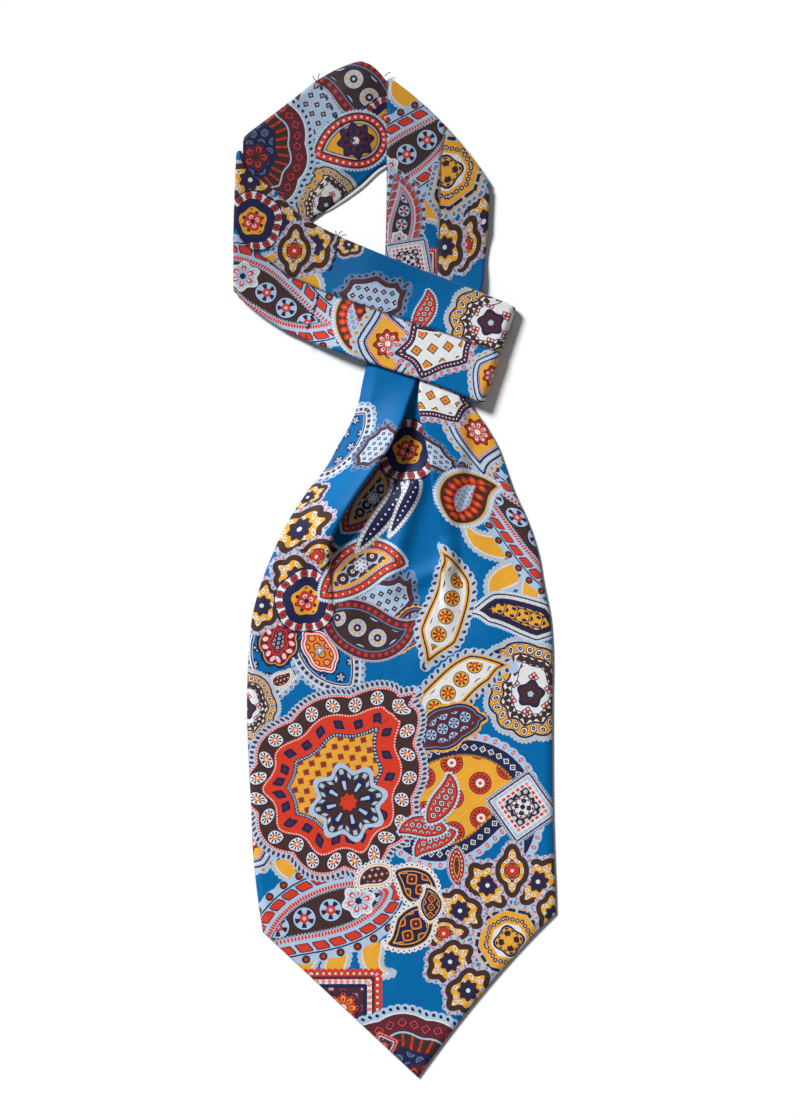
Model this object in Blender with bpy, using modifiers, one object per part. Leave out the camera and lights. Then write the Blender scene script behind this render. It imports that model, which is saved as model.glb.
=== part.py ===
"""A silk day cravat laid flat on a surface.

One long band of printed silk: two wide pointed blades, pleated down to a narrow neckband between
them. The front blade lies on the rear blade. Its neck goes up as the riser strand, folds over a
diagonal at the top right, comes back as the top strand, folds again at the left and crosses
everything as the cross strand, whose right end folds under to the hidden turn of the band.

Sizes are in millimetres, X to the right and Y up the laid cravat, from the middle of its outline;
Z is the height above the surface. A height is that of a wall's middle unless it says otherwise.
"""
import math

import bpy
import numpy as np

MM = 0.001
COLLECTION = "silk_cravat"

# Cloth walls: the band is silk folded on itself and pressed, the blades are silk with their hems
BAND_WALL = 1.6
BLADE_WALL = 1.0
REAR_WALL = 1.2
CLEAR = 0.3

# A band's pleat line is a small step, where one half of the band lies on the other. The step's
# half width is a share of the band's width
PLEAT_STEP = 0.5
PLEAT_STEP_SHARE = 0.012

# Heights of the layers, worked out from the walls and the gap between them
FLOOR_BAND = BAND_WALL / 2
OVER_BAND = BAND_WALL + CLEAR + PLEAT_STEP + BAND_WALL / 2
REST_BLADE = REAR_WALL + CLEAR + BLADE_WALL / 2
NECK_BLADE = BAND_WALL + CLEAR + BLADE_WALL / 2
PLEAT_RADIUS = (BLADE_WALL + CLEAR) / 2
PLEAT_DROP = 4 * PLEAT_RADIUS
NECK_SLOPE = (NECK_BLADE + REST_BLADE) / 2
NECK_TOP = NECK_BLADE + PLEAT_DROP + BLADE_WALL / 2
OVER_NECK = NECK_TOP + CLEAR + PLEAT_STEP + BAND_WALL / 2
RISER_FOOT = NECK_TOP - BAND_WALL / 2

# How far a fold's lower half runs back under the strand, the least space to the next section, and
# the steps of a fold's half turn
FOLD_RETURN = 0.8
SECTION_SPACE = 0.8
FOLD_STEPS = 6

# The top strand's sections: ends on its outer edge and on its inner edge
TOP_STRAND = [
    # outer x, outer y, inner x, inner y
    (-4.2, 236.6, 43.8, 185.6),
    (-8.1, 242.8, 22.1, 190.7),
    (-13.9, 246.7, 5.1, 194.8),
    (-18.3, 247.2, -3.7, 197.0),
    (-26.6, 244.2, -5.8, 196.2),
    (-37.3, 238.4, -9.2, 194.0),
    (-46.1, 231.6, -15.9, 187.7),
    (-60.7, 220.4, -30.0, 177.0),
    (-70.4, 213.1, -42.0, 168.5),
    (-73.2, 210.4, -57.0, 155.6),
    (-73.8, 208.2, -75.0, 139.0),
]

# The riser's sections, from its diagonal fold down to the blade's neck. The pleat column is the
# pleat line's place across the strand, bow is how far the section swells outwards at its middle
RISER_STRAND = [
    # left x, left y, right x, right y, height, pleat, bow
    (-2.2, 239.4, 46.5, 187.7, OVER_BAND, 0.52, 3.6),
    (-3.5, 232.5, 46.2, 181.9, OVER_BAND, 0.52, 2.4),
    (-3.7, 223.8, 46.0, 177.0, OVER_BAND, 0.52, 1.2),
    (-3.9, 211.6, 45.7, 171.2, OVER_BAND, 0.53, 0.4),
    (-3.9, 197.0, 45.5, 165.3, OVER_BAND, 0.53, 0.0),
    (-3.9, 182.4, 44.8, 158.5, 2.2, 0.54, 0.0),
    (-4.2, 167.8, 44.0, 150.7, 2.0, 0.54, 0.0),
    (-4.7, 152.7, 43.3, 141.0, 3.4, 0.54, 0.0),
    (-6.6, 136.1, 41.1, 131.2, RISER_FOOT, 0.54, 0.0),
    (-9.1, 121.0, 40.6, 121.0, RISER_FOOT, 0.54, 0.0),
]

# The cross strand's sections, from the left fold to the right one
CROSS_STRAND = [
    # upper x, upper y, lower x, lower y, height, pleat, bow
    (-77.0, 203.8, -78.5, 134.7, OVER_BAND, 0.56, 0.6),
    (-70.4, 193.6, -71.9, 128.8, OVER_BAND, 0.57, 0.0),
    (-57.3, 183.8, -65.1, 123.5, OVER_BAND, 0.56, 0.0),
    (-48.0, 174.1, -54.3, 116.6, OVER_BAND, 0.55, 0.0),
    (-37.3, 167.3, -46.6, 113.0, 3.4, 0.53, 0.0),
    (-26.6, 161.9, -37.8, 109.3, 4.8, 0.53, 0.0),
    (-11.5, 155.3, -26.6, 105.4, OVER_NECK, 0.52, 0.0),
    (12.4, 145.9, -3.2, 97.2, OVER_NECK, 0.51, 0.0),
    (38.2, 136.1, 20.2, 89.4, OVER_NECK, 0.50, 0.0),
    (59.1, 127.4, 43.5, 80.1, OVER_NECK, 0.48, 0.0),
]

# The front blade's sections, from its neck under the cross strand down to its corners. Flap columns
# are the visible edges of the box pleat, tuck is how far the cloth goes under each flap, turn is
# the angle in degrees that it turns through at each fold, and dip lowers the section's middle
FRONT_BLADE = [
    # left x, left y, right x, right y, left flap x, right flap x, tuck, turn, height, dip
    (-9.1, 120.7, 40.6, 120.7, 13.5, 15.5, 17.0, 180, NECK_BLADE, 0),
    (-12.0, 106.9, 38.7, 106.9, 11.6, 13.6, 17.0, 180, NECK_BLADE, 0),
    (-15.9, 89.9, 34.5, 89.9, 10.0, 12.0, 16.5, 180, NECK_BLADE, 0),
    (-17.6, 81.1, 36.7, 81.1, 7.0, 11.4, 16.0, 180, NECK_BLADE, 0),
    (-21.2, 71.3, 43.5, 71.3, 3.8, 12.9, 15.0, 180, NECK_SLOPE, 0),
    (-27.8, 59.7, 50.4, 59.7, -2.2, 15.5, 13.0, 180, REST_BLADE, 0),
    (-31.9, 51.9, 53.3, 51.9, -7.1, 16.8, 11.0, 180, REST_BLADE, 0),
    (-42.2, 38.2, 58.1, 38.2, -16.9, 18.2, 7.0, 180, REST_BLADE, 0),
    (-50.0, 26.5, 63.5, 26.5, -24.2, 20.2, 3.0, 180, REST_BLADE, 0),
    (-55.6, 16.3, 67.4, 16.3, -29.5, 21.6, 0.6, 180, REST_BLADE, 0),
    (-59.2, 8.0, 69.8, 8.0, -31.0, 22.1, 0, 110, REST_BLADE, 0),
    (-65.1, -7.1, 72.5, -7.1, -30.5, 22.5, 0, 60, REST_BLADE, 0),
    (-69.4, -23.6, 75.7, -23.6, -29.5, 23.0, 0, 30, REST_BLADE, 0),
    (-70.7, -36.8, 76.7, -36.8, -28.5, 23.5, 0, 0, REST_BLADE, 0),
    (-71.9, -63.6, 76.7, -63.6, -28.0, 26.5, 0, 0, REST_BLADE, 3),
    (-71.4, -85.5, 76.7, -85.5, -26.5, 29.0, 0, 0, REST_BLADE, 8),
    (-69.9, -114.7, 76.9, -114.7, -24.0, 32.0, 0, 0, REST_BLADE, 24),
    (-68.7, -140.5, 77.6, -140.5, -20.5, 35.0, 0, 0, REST_BLADE, 46),
    (-66.6, -160.0, 78.2, -156.0, -17.0, 37.0, 0, 0, REST_BLADE, 64),
    (-64.2, -176.5, 78.5, -167.1, -15.0, 37.8, 0, 0, REST_BLADE, 75.8),
]
TIP_X = 11.4
LOWER_RIGHT_SAG = 3.8
# The hem rolls down to the surface over its width; the lower edges run at about 45 degrees
HEM_DROP = 0.9
HEM_WIDTH = 3.6
LOWER_EDGE_SLANT = 0.7
# Over how much width the cloth climbs onto the layers tucked under a flap
FLAP_RAMP = 8.0
# Where the hem's roll has its own sections: in from a side, and along the blade near its end
HEM_COLUMNS = np.array([0.0, 1.2, 2.4, 3.7])
HEM_ROWS = np.array([0.9875, 0.9915, 0.996, 1.0])
# Where the pleat has opened, its path keeps this much turn in degrees and tuck in millimetres
LEAST_TURN = 1.0
LEAST_TUCK = 0.4
# Columns of faces in each pleat turn and in the pleat's floor
TURN_STEPS = 5
VALLEY_STEPS = 6

# Soft ridges of the front blade below its pleat: ends, height and half width
BLADE_RIDGES = [
    # start x, start y, end x, end y, height, half width
    (15.0, 46.0, -27.0, 6.0, 1.1, 6.5),
    (17.0, 10.0, 2.0, -6.0, 0.9, 6.0),
    (-40.0, 34.0, -52.0, -18.0, 0.6, 8.0),
    (33.0, 52.0, 45.0, -30.0, 0.6, 9.0),
]

# The rear blade's outline, inside the front blade's by the width of its hem
REAR_BLADE = [
    (-9.0, 77.0), (26.0, 77.0), (36.0, 66.0), (48.0, 44.0), (57.0, 22.0), (66.0, -7.0),
    (71.5, -37.0), (72.0, -85.0), (72.8, -141.0), (73.4, -163.0), (41.2, -199.9),
    (10.5, -238.5), (-58.5, -174.8), (-63.5, -141.0), (-66.2, -85.0), (-65.3, -37.0),
    (-58.5, -7.0), (-44.0, 22.0), (-28.0, 46.0),
]

# How far the hidden pieces' edges are rounded
HEM_ROUND = 0.4

# The hidden turn of the band: its outline under the cross strand and the blade's neck
BAND_TURN = [
    (-16.0, 127.0), (-5.0, 131.0), (20.0, 127.0), (46.0, 118.0), (37.0, 91.0), (28.0, 84.0),
    (28.0, 77.4), (-9.0, 77.4), (-9.0, 100.0), (-18.0, 112.0),
]

# Silk colours, the mean of the print over each stretch
SILK_FRONT = (0.19, 0.30, 0.46, 1.0)
SILK_REAR = (0.10, 0.24, 0.42, 1.0)
SILK_BAND = (0.14, 0.26, 0.44, 1.0)
SILK_BACK = (0.24, 0.22, 0.30, 1.0)
SILK_ROUGHNESS = 0.45


def spread(table, shares):
    """The table's rows, joined by a smooth curve, at shares of the way along the sections' middles."""
    rows = np.array(table, dtype=float)
    middles = (rows[:, 0:2] + rows[:, 2:4]) / 2
    travel = np.concatenate([[0], np.cumsum(np.linalg.norm(np.diff(middles, axis=0), axis=1))])
    slopes = np.gradient(rows, travel, axis=0)
    steps = np.asarray(shares) * travel[-1]
    index = np.clip(np.searchsorted(travel, steps, side="right") - 1, 0, len(rows) - 2)
    length = (travel[index + 1] - travel[index])[:, None]
    part = ((steps - travel[index])[:, None]) / length
    start, end = rows[index], rows[index + 1]
    rise, fall = slopes[index] * length, slopes[index + 1] * length
    return (start * (2 * part**3 - 3 * part**2 + 1) + end * (3 * part**2 - 2 * part**3)
            + rise * (part**3 - 2 * part**2 + part) + fall * (part**3 - part**2))


def smooth_step(value):
    """0 below 0, 1 above 1, and a smooth S between them."""
    value = np.clip(value, 0, 1)
    return value * value * (3 - 2 * value)


def silk(name, colour):
    """A plain silk material."""
    material = bpy.data.materials.new(name)
    material.use_nodes = True
    shader = material.node_tree.nodes["Principled BSDF"]
    shader.inputs["Base Color"].default_value = colour
    shader.inputs["Roughness"].default_value = SILK_ROUGHNESS
    shader.inputs["Metallic"].default_value = 0.0
    return material


def add_piece(name, mesh, colour, collection):
    """An object in the cravat's collection, with its own material."""
    piece = bpy.data.objects.new(name, mesh)
    collection.objects.link(piece)
    mesh.materials.append(silk("silk_" + name, colour))
    return piece


def cloth_wall(name, grid, wall, colour, collection):
    """A loft over a grid of points in millimetres, rows by columns, given its wall by Solidify."""
    rows, columns = grid.shape[:2]
    corner = np.arange(rows * columns).reshape(rows, columns)
    quads = np.stack([corner[:-1, :-1], corner[:-1, 1:], corner[1:, 1:], corner[1:, :-1]], axis=-1)
    mesh = bpy.data.meshes.new(name)
    mesh.from_pydata((grid.reshape(-1, 3) * MM).tolist(), [], quads.reshape(-1, 4).tolist())
    mesh.update()
    piece = add_piece(name, mesh, colour, collection)
    thicken = piece.modifiers.new("Wall", "SOLIDIFY")
    thicken.thickness = wall * MM
    thicken.offset = 0.0
    return piece


def flat_piece(name, outline, low, high, colour, collection):
    """A flat outline between two heights, filled on both sides, its edges rounded."""
    curve = bpy.data.curves.new(name, "CURVE")
    curve.dimensions = "2D"
    curve.fill_mode = "BOTH"
    curve.extrude = ((high - low) / 2 - HEM_ROUND) * MM
    curve.bevel_depth = HEM_ROUND * MM
    curve.bevel_resolution = 1
    curve.offset = -HEM_ROUND * MM
    spline = curve.splines.new("POLY")
    spline.points.add(len(outline) - 1)
    for point, (x, y) in zip(spline.points, outline):
        point.co = (x * MM, y * MM, 0.0, 1.0)
    spline.use_cyclic_u = True
    piece = add_piece(name, curve, colour, collection)
    piece.location.z = (low + high) / 2 * MM
    return piece


def away_from(side, inward):
    """The side direction or its opposite, whichever points away from the inward direction."""
    return side * -np.sign((side * inward).sum(axis=-1, keepdims=True))


def band_grid(table, count, across):
    """Points of a strand's wall middle: sections from edge to edge, bowed, stepped at the pleat line."""
    rows = spread(table, np.linspace(0, 1, count))
    start, end, height, pleat, bow = np.split(rows, [2, 4, 5, 6], axis=1)
    half = np.linspace(0, 1, across // 2)
    first = half * (pleat - PLEAT_STEP_SHARE)
    second = 1 - half[::-1] * (1 - pleat - PLEAT_STEP_SHARE)
    place = np.concatenate([first, second], axis=1)
    ahead = end - start
    side = np.stack([ahead[:, 1], -ahead[:, 0]], axis=1) / np.linalg.norm(ahead, axis=1)[:, None]
    outward = away_from(side, np.gradient((start + end) / 2, axis=0))
    swell = 4 * place * (1 - place) * bow
    points = start[:, None] + ahead[:, None] * place[..., None] + outward[:, None] * swell[..., None]
    step = np.concatenate([np.full_like(first, PLEAT_STEP), np.zeros_like(second)], axis=1)
    return np.concatenate([points, (height - step)[..., None]], axis=-1)


def fold_under(grid):
    """The strand with a half turn down to the surface before its first section.

    The half turn's radius is half of the height it goes down. The section is set back first, so that
    the turn's outside reaches the fold's measured line, and a short run goes back under the strand.
    """
    first = grid[0]
    ahead = first[-1, :2] - first[0, :2]
    side = np.array([ahead[1], -ahead[0]]) / np.linalg.norm(ahead)
    outward = away_from(side, grid[3, :, :2].mean(axis=0) - first[:, :2].mean(axis=0))
    radius = (first[:, 2] - FLOOR_BAND) / 2
    line = first[:, :2] - outward * (radius + BAND_WALL / 2)[:, None]
    turn = np.linspace(math.pi, 0, FOLD_STEPS + 1)[:, None]
    out = radius * np.sin(turn)
    up = FLOOR_BAND + radius * (1 + np.cos(turn))
    half_turn = np.concatenate([line + outward * out[..., None], up[..., None]], axis=-1)
    back = half_turn[:1].copy()
    back[..., :2] -= outward * FOLD_RETURN
    beyond = ((line - grid[1:, :, :2]) @ outward).mean(axis=1) > SECTION_SPACE
    return np.concatenate([back, half_turn, grid[1:][beyond]])


def pleat_path(flap, tuck, turn, side):
    """One fold of the box pleat, in distances across and heights below the flap's level.

    The path turns down through the turn angle, goes under by the tuck and turns level again. Both
    turns keep the cloth's length in them, so a smaller angle has a larger radius. side is 1 for the
    left flap, whose cloth comes from the left, and -1 for the right one.
    """
    angle = math.radians(turn)
    radius = PLEAT_RADIUS * math.pi / angle
    swing = np.linspace(0, angle, TURN_STEPS + 1)
    down = radius * np.stack([np.sin(swing), np.cos(swing) - 1], axis=1)
    across = down[-1] + tuck * np.array([math.cos(angle), -math.sin(angle)])
    level = across + (down[-1] - down[::-1])
    path = np.concatenate([down, level])
    edge = radius * math.sin(min(angle, math.pi / 2)) + BLADE_WALL / 2
    return np.stack([flap + side * (path[:, 0] - edge), path[:, 1]], axis=1)


def blade_section(row, across):
    """The x and the heights along one section of the front blade, from its left edge to its right."""
    left, _, right, _, flap_left, flap_right, tuck, turn, base, _ = row
    fold_left = pleat_path(flap_left, tuck, turn, 1)
    fold_right = pleat_path(flap_right, tuck, turn, -1)[::-1]
    drop = -pleat_path(0, tuck, turn, 1)[-1, 1]
    cloth_left = np.linspace(left + HEM_COLUMNS[-1], fold_left[0, 0], across)
    cloth_right = np.linspace(fold_right[-1, 0], right - HEM_COLUMNS[-1], across)
    run_left = np.concatenate([left + HEM_COLUMNS[:-1], cloth_left[:-1]])
    run_right = np.concatenate([cloth_right[1:], right - HEM_COLUMNS[-2::-1]])
    valley = np.linspace(fold_left[-1, 0], fold_right[0, 0], VALLEY_STEPS + 1)[1:-1]
    under = 2 * PLEAT_RADIUS + BLADE_WALL + CLEAR
    rise_left = smooth_step((run_left - (flap_left - tuck - under - FLAP_RAMP)) / FLAP_RAMP)
    rise_right = smooth_step(((flap_right + tuck + under + FLAP_RAMP) - run_right) / FLAP_RAMP)
    x = np.concatenate([run_left, fold_left[:, 0], valley, fold_right[:, 0], run_right])
    z = np.concatenate([base + drop * rise_left, base + drop + fold_left[:, 1],
                        np.full(len(valley), base), base + drop + fold_right[:, 1],
                        base + drop * rise_right])
    return x, z


def blade_relief(x, y):
    """Soft ridges: a bell across each ridge's line, fading beyond its ends."""
    height = np.zeros_like(x)
    for start_x, start_y, end_x, end_y, top, width in BLADE_RIDGES:
        run = np.array([end_x - start_x, end_y - start_y])
        length = np.linalg.norm(run)
        along = ((x - start_x) * run[0] + (y - start_y) * run[1]) / length
        off = ((x - start_x) * run[1] - (y - start_y) * run[0]) / length
        beyond = np.maximum(np.maximum(-along, along - length), 0)
        height += top * np.exp(-(off / width) ** 2 - (beyond / (1.5 * width)) ** 2)
    return height


def edge_drop(x, y, rows):
    """How far the hem rolls down, by the distance in from the nearest edge; not at the raised neck."""
    lower = np.interp(x, x[-1], y[-1])
    left, right, base = rows[:, 0:1], rows[:, 2:3], rows[:, 8:9]
    inside = np.minimum(np.minimum(x - left, right - x), LOWER_EDGE_SLANT * (y - lower))
    drop = HEM_DROP * (NECK_BLADE - base) / (NECK_BLADE - REST_BLADE)
    return drop * (1 - smooth_step(inside / HEM_WIDTH))


def front_blade(count, across):
    """The front blade's grid: pleated sections, their middles lowered towards the tip."""
    rows = spread(FRONT_BLADE, np.concatenate([np.linspace(0, 0.975, count), HEM_ROWS]))
    lowest = [-np.inf] * 6 + [LEAST_TUCK, LEAST_TURN, 0, 0]
    rows = np.maximum(rows, lowest)
    rows[:, 7] = np.minimum(rows[:, 7], 180)
    left, left_y, right, right_y, _, _, _, _, _, dip = np.split(rows, 10, axis=1)
    x, z = np.moveaxis(np.array([blade_section(row, across) for row in rows]), 1, 0)
    part = (x - left) / (right - left)
    tip = (TIP_X - left) / (right - left)
    beside = np.clip((part - tip) / (1 - tip), 0, 1)
    tent = np.where(part < tip, part / tip, 1 - beside)
    sag = LOWER_RIGHT_SAG * dip / dip[-1] * 4 * beside * (1 - beside)
    y = left_y + (right_y - left_y) * part - dip * tent + sag
    z = z + blade_relief(x, y) - edge_drop(x, y, rows)
    return np.stack([x, y, z], axis=-1)


def top_strand(count, across):
    """The top strand's grid: flat on the surface, the back of the band up."""
    rows = spread(TOP_STRAND, np.linspace(0, 1, count))
    place = np.linspace(0, 1, across)[:, None]
    points = rows[:, None, 0:2] + (rows[:, None, 2:4] - rows[:, None, 0:2]) * place
    return np.concatenate([points, np.full((count, across, 1), FLOOR_BAND)], axis=-1)


def build():
    """All of the cravat's pieces."""
    for old in list(bpy.data.objects):
        bpy.data.objects.remove(old, do_unlink=True)
    collection = bpy.data.collections.new(COLLECTION)
    bpy.context.scene.collection.children.link(collection)
    flat_piece("rear_blade", REAR_BLADE, 0.0, REAR_WALL, SILK_REAR, collection)
    flat_piece("band_turn", BAND_TURN, 0.0, BAND_WALL, SILK_BAND, collection)
    top = top_strand(24, 6)
    riser = fold_under(band_grid(RISER_STRAND, 26, 8))
    cross = fold_under(band_grid(CROSS_STRAND, 30, 8))
    cross = fold_under(cross[::-1])[::-1]
    blade = front_blade(42, 7)
    cloth_wall("top_strand", top, BAND_WALL, SILK_BACK, collection)
    cloth_wall("riser_strand", riser, BAND_WALL, SILK_BAND, collection)
    cloth_wall("cross_strand", cross, BAND_WALL, SILK_BAND, collection)
    cloth_wall("front_blade", blade, BLADE_WALL, SILK_FRONT, collection)


build()
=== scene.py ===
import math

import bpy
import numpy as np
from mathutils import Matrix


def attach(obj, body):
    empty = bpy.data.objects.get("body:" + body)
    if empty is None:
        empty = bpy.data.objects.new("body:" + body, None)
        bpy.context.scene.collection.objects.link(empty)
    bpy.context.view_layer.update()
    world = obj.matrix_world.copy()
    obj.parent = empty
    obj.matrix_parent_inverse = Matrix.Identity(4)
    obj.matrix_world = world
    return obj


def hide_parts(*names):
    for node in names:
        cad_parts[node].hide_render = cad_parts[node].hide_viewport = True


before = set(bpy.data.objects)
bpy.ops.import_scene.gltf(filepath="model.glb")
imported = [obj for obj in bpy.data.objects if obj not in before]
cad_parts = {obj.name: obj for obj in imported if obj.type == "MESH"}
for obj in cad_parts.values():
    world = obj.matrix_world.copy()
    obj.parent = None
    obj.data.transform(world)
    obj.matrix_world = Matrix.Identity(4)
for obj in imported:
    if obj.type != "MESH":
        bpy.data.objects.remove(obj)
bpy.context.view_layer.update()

# Looks of a printed silk day cravat, laid flat and seen from straight above. Each stretch of silk is
# a thin shell on its solid's form, worked out from the same sections in millimetres: X to the right,
# Y up the laid cravat, Z the height above the surface. The print is drawn by the shader from fields
# that each shell carries: how deep a point lies inside its motif, how far round the motif's outline
# it is, and where it is beside the motif's middle.

MM = 0.001

# Cloth walls and the layers' heights, those of the solids
BAND_WALL = 1.6
BLADE_WALL = 1.0
REAR_WALL = 1.2
CLEAR = 0.3
PLEAT_STEP = 0.5
PLEAT_STEP_SHARE = 0.006
FLOOR_BAND = BAND_WALL / 2
OVER_BAND = BAND_WALL + CLEAR + PLEAT_STEP + BAND_WALL / 2
REST_BLADE = REAR_WALL + CLEAR + BLADE_WALL / 2
NECK_BLADE = BAND_WALL + CLEAR + BLADE_WALL / 2
PLEAT_RADIUS = (BLADE_WALL + CLEAR) / 2
PLEAT_DROP = 4 * PLEAT_RADIUS
NECK_SLOPE = (NECK_BLADE + REST_BLADE) / 2
NECK_TOP = NECK_BLADE + PLEAT_DROP + BLADE_WALL / 2
OVER_NECK = NECK_TOP + CLEAR + PLEAT_STEP + BAND_WALL / 2
RISER_FOOT = NECK_TOP - BAND_WALL / 2

TOP_STRAND = [
    # outer x, outer y, inner x, inner y
    (-4.2, 236.6, 43.8, 185.6),
    (-8.1, 242.8, 22.1, 190.7),
    (-13.9, 246.7, 5.1, 194.8),
    (-18.3, 247.2, -3.7, 197.0),
    (-26.6, 244.2, -5.8, 196.2),
    (-37.3, 238.4, -9.2, 194.0),
    (-46.1, 231.6, -15.9, 187.7),
    (-60.7, 220.4, -30.0, 177.0),
    (-70.4, 213.1, -42.0, 168.5),
    (-73.2, 210.4, -57.0, 155.6),
    (-73.8, 208.2, -75.0, 139.0),
]
RISER_STRAND = [
    # left x, left y, right x, right y, height, pleat, bow
    (-2.2, 239.4, 46.5, 187.7, OVER_BAND, 0.52, 3.6),
    (-3.5, 232.5, 46.2, 181.9, OVER_BAND, 0.52, 2.4),
    (-3.7, 223.8, 46.0, 177.0, OVER_BAND, 0.52, 1.2),
    (-3.9, 211.6, 45.7, 171.2, OVER_BAND, 0.53, 0.4),
    (-3.9, 197.0, 45.5, 165.3, OVER_BAND, 0.53, 0.0),
    (-3.9, 182.4, 44.8, 158.5, 2.2, 0.54, 0.0),
    (-4.2, 167.8, 44.0, 150.7, 2.0, 0.54, 0.0),
    (-4.7, 152.7, 43.3, 141.0, 3.4, 0.54, 0.0),
    (-6.6, 136.1, 41.1, 131.2, RISER_FOOT, 0.54, 0.0),
    (-9.1, 121.0, 40.6, 121.0, RISER_FOOT, 0.54, 0.0),
]
CROSS_STRAND = [
    # upper x, upper y, lower x, lower y, height, pleat, bow
    (-77.0, 203.8, -78.5, 134.7, OVER_BAND, 0.56, 0.6),
    (-70.4, 193.6, -71.9, 128.8, OVER_BAND, 0.57, 0.0),
    (-57.3, 183.8, -65.1, 123.5, OVER_BAND, 0.56, 0.0),
    (-48.0, 174.1, -54.3, 116.6, OVER_BAND, 0.55, 0.0),
    (-37.3, 167.3, -46.6, 113.0, 3.4, 0.53, 0.0),
    (-26.6, 161.9, -37.8, 109.3, 4.8, 0.53, 0.0),
    (-11.5, 155.3, -26.6, 105.4, OVER_NECK, 0.52, 0.0),
    (12.4, 145.9, -3.2, 97.2, OVER_NECK, 0.51, 0.0),
    (38.2, 136.1, 20.2, 89.4, OVER_NECK, 0.50, 0.0),
    (59.1, 127.4, 43.5, 80.1, OVER_NECK, 0.48, 0.0),
]
FRONT_BLADE = [
    # left x, left y, right x, right y, left flap x, right flap x, tuck, turn, height, dip
    (-9.1, 120.7, 40.6, 120.7, 13.5, 15.5, 17.0, 180, NECK_BLADE, 0),
    (-12.0, 106.9, 38.7, 106.9, 11.6, 13.6, 17.0, 180, NECK_BLADE, 0),
    (-15.9, 89.9, 34.5, 89.9, 10.0, 12.0, 16.5, 180, NECK_BLADE, 0),
    (-17.6, 81.1, 36.7, 81.1, 7.0, 11.4, 16.0, 180, NECK_BLADE, 0),
    (-21.2, 71.3, 43.5, 71.3, 3.8, 12.9, 15.0, 180, NECK_SLOPE, 0),
    (-27.8, 59.7, 50.4, 59.7, -2.2, 15.5, 13.0, 180, REST_BLADE, 0),
    (-31.9, 51.9, 53.3, 51.9, -7.1, 16.8, 11.0, 180, REST_BLADE, 0),
    (-42.2, 38.2, 58.1, 38.2, -16.9, 18.2, 7.0, 180, REST_BLADE, 0),
    (-50.0, 26.5, 63.5, 26.5, -24.2, 20.2, 3.0, 180, REST_BLADE, 0),
    (-55.6, 16.3, 67.4, 16.3, -29.5, 21.6, 0.6, 180, REST_BLADE, 0),
    (-59.2, 8.0, 69.8, 8.0, -31.0, 22.1, 0, 110, REST_BLADE, 0),
    (-65.1, -7.1, 72.5, -7.1, -30.5, 22.5, 0, 60, REST_BLADE, 0),
    (-69.4, -23.6, 75.7, -23.6, -29.5, 23.0, 0, 30, REST_BLADE, 0),
    (-70.7, -36.8, 76.7, -36.8, -28.5, 23.5, 0, 0, REST_BLADE, 0),
    (-71.9, -63.6, 76.7, -63.6, -28.0, 26.5, 0, 0, REST_BLADE, 3),
    (-71.4, -85.5, 76.7, -85.5, -26.5, 29.0, 0, 0, REST_BLADE, 8),
    (-69.9, -114.7, 76.9, -114.7, -24.0, 32.0, 0, 0, REST_BLADE, 24),
    (-68.7, -140.5, 77.6, -140.5, -20.5, 35.0, 0, 0, REST_BLADE, 46),
    (-66.6, -160.0, 78.2, -156.0, -17.0, 37.0, 0, 0, REST_BLADE, 64),
    (-64.2, -176.5, 78.5, -167.1, -15.0, 37.8, 0, 0, REST_BLADE, 75.8),
]

# The blade's tip and the sag of its lower right edge; the drop at its hem, how wide that is and how
# far the lower edge counts; the cloth's rise beside the pleat; and the least turn and tuck
TIP_X = 11.4
LOWER_RIGHT_SAG = 3.8
HEM_DROP = 0.9
HEM_WIDTH = 3.6
LOWER_EDGE_SLANT = 0.7
FLAP_RAMP = 8.0
LEAST_TURN = 1.0
LEAST_TUCK = 0.4

# Soft ridges on the blade
BLADE_RIDGES = [
    # start x, start y, end x, end y, height, half width
    (13.0, 46.0, -24.0, 8.0, 2.4, 5.5),
    (8.5, 35.0, -1.3, 0.0, 3.0, 5.0),
    (22.0, 0.0, 2.0, -8.0, 1.8, 4.5),
    (-38.0, 36.0, -50.0, -18.0, 1.6, 7.0),
    (-22.0, 72.0, -36.0, 52.0, 1.0, 3.5),
    (33.0, 52.0, 45.0, -30.0, 1.2, 9.0),
    (-34.0, 12.0, -22.0, -18.0, 1.8, 6.0),
    (28.0, 8.0, 14.0, -40.0, 1.2, 6.0),
    (22.0, 84.0, 33.0, 77.5, 0.8, 1.4),
]

# How far a ridge fades beyond its ends, in half widths
RIDGE_FADE = 1.5

# How far the flaps' edges stand off the pleat's floor, beside which rows, and how wide the lift is.
# It fades from where the y distance is the lift's reach less 1, in half lengths, to the reach
LIFT_REACH = 1.3
FLAP_LIFTS = [
    # height, middle y, half length, half width
    (11.0, 44.0, 38.0, 13.0),
    (3.8, 50.0, 30.0, 11.0),
]

# The top strand's rise beside the riser, as the cloth lies over what it covers: from which x it
# starts and ends and over how far, how much of the width its sides take, and from which y it starts
STRAND_SWELL = 1.8
SWELL_RIGHT, SWELL_RIGHT_RUN = -4, 12
SWELL_LEFT, SWELL_LEFT_RUN = -46, 24
SWELL_SIDE_SHARE = 0.25
SWELL_LOWEST, SWELL_LOWEST_RUN = 150, 20

# The groove beside a strand's pleat line: its depth, and its half width as a share of the band's
PLEAT_GROOVE = 0.5
PLEAT_GROOVE_WIDTH = 0.018

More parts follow.
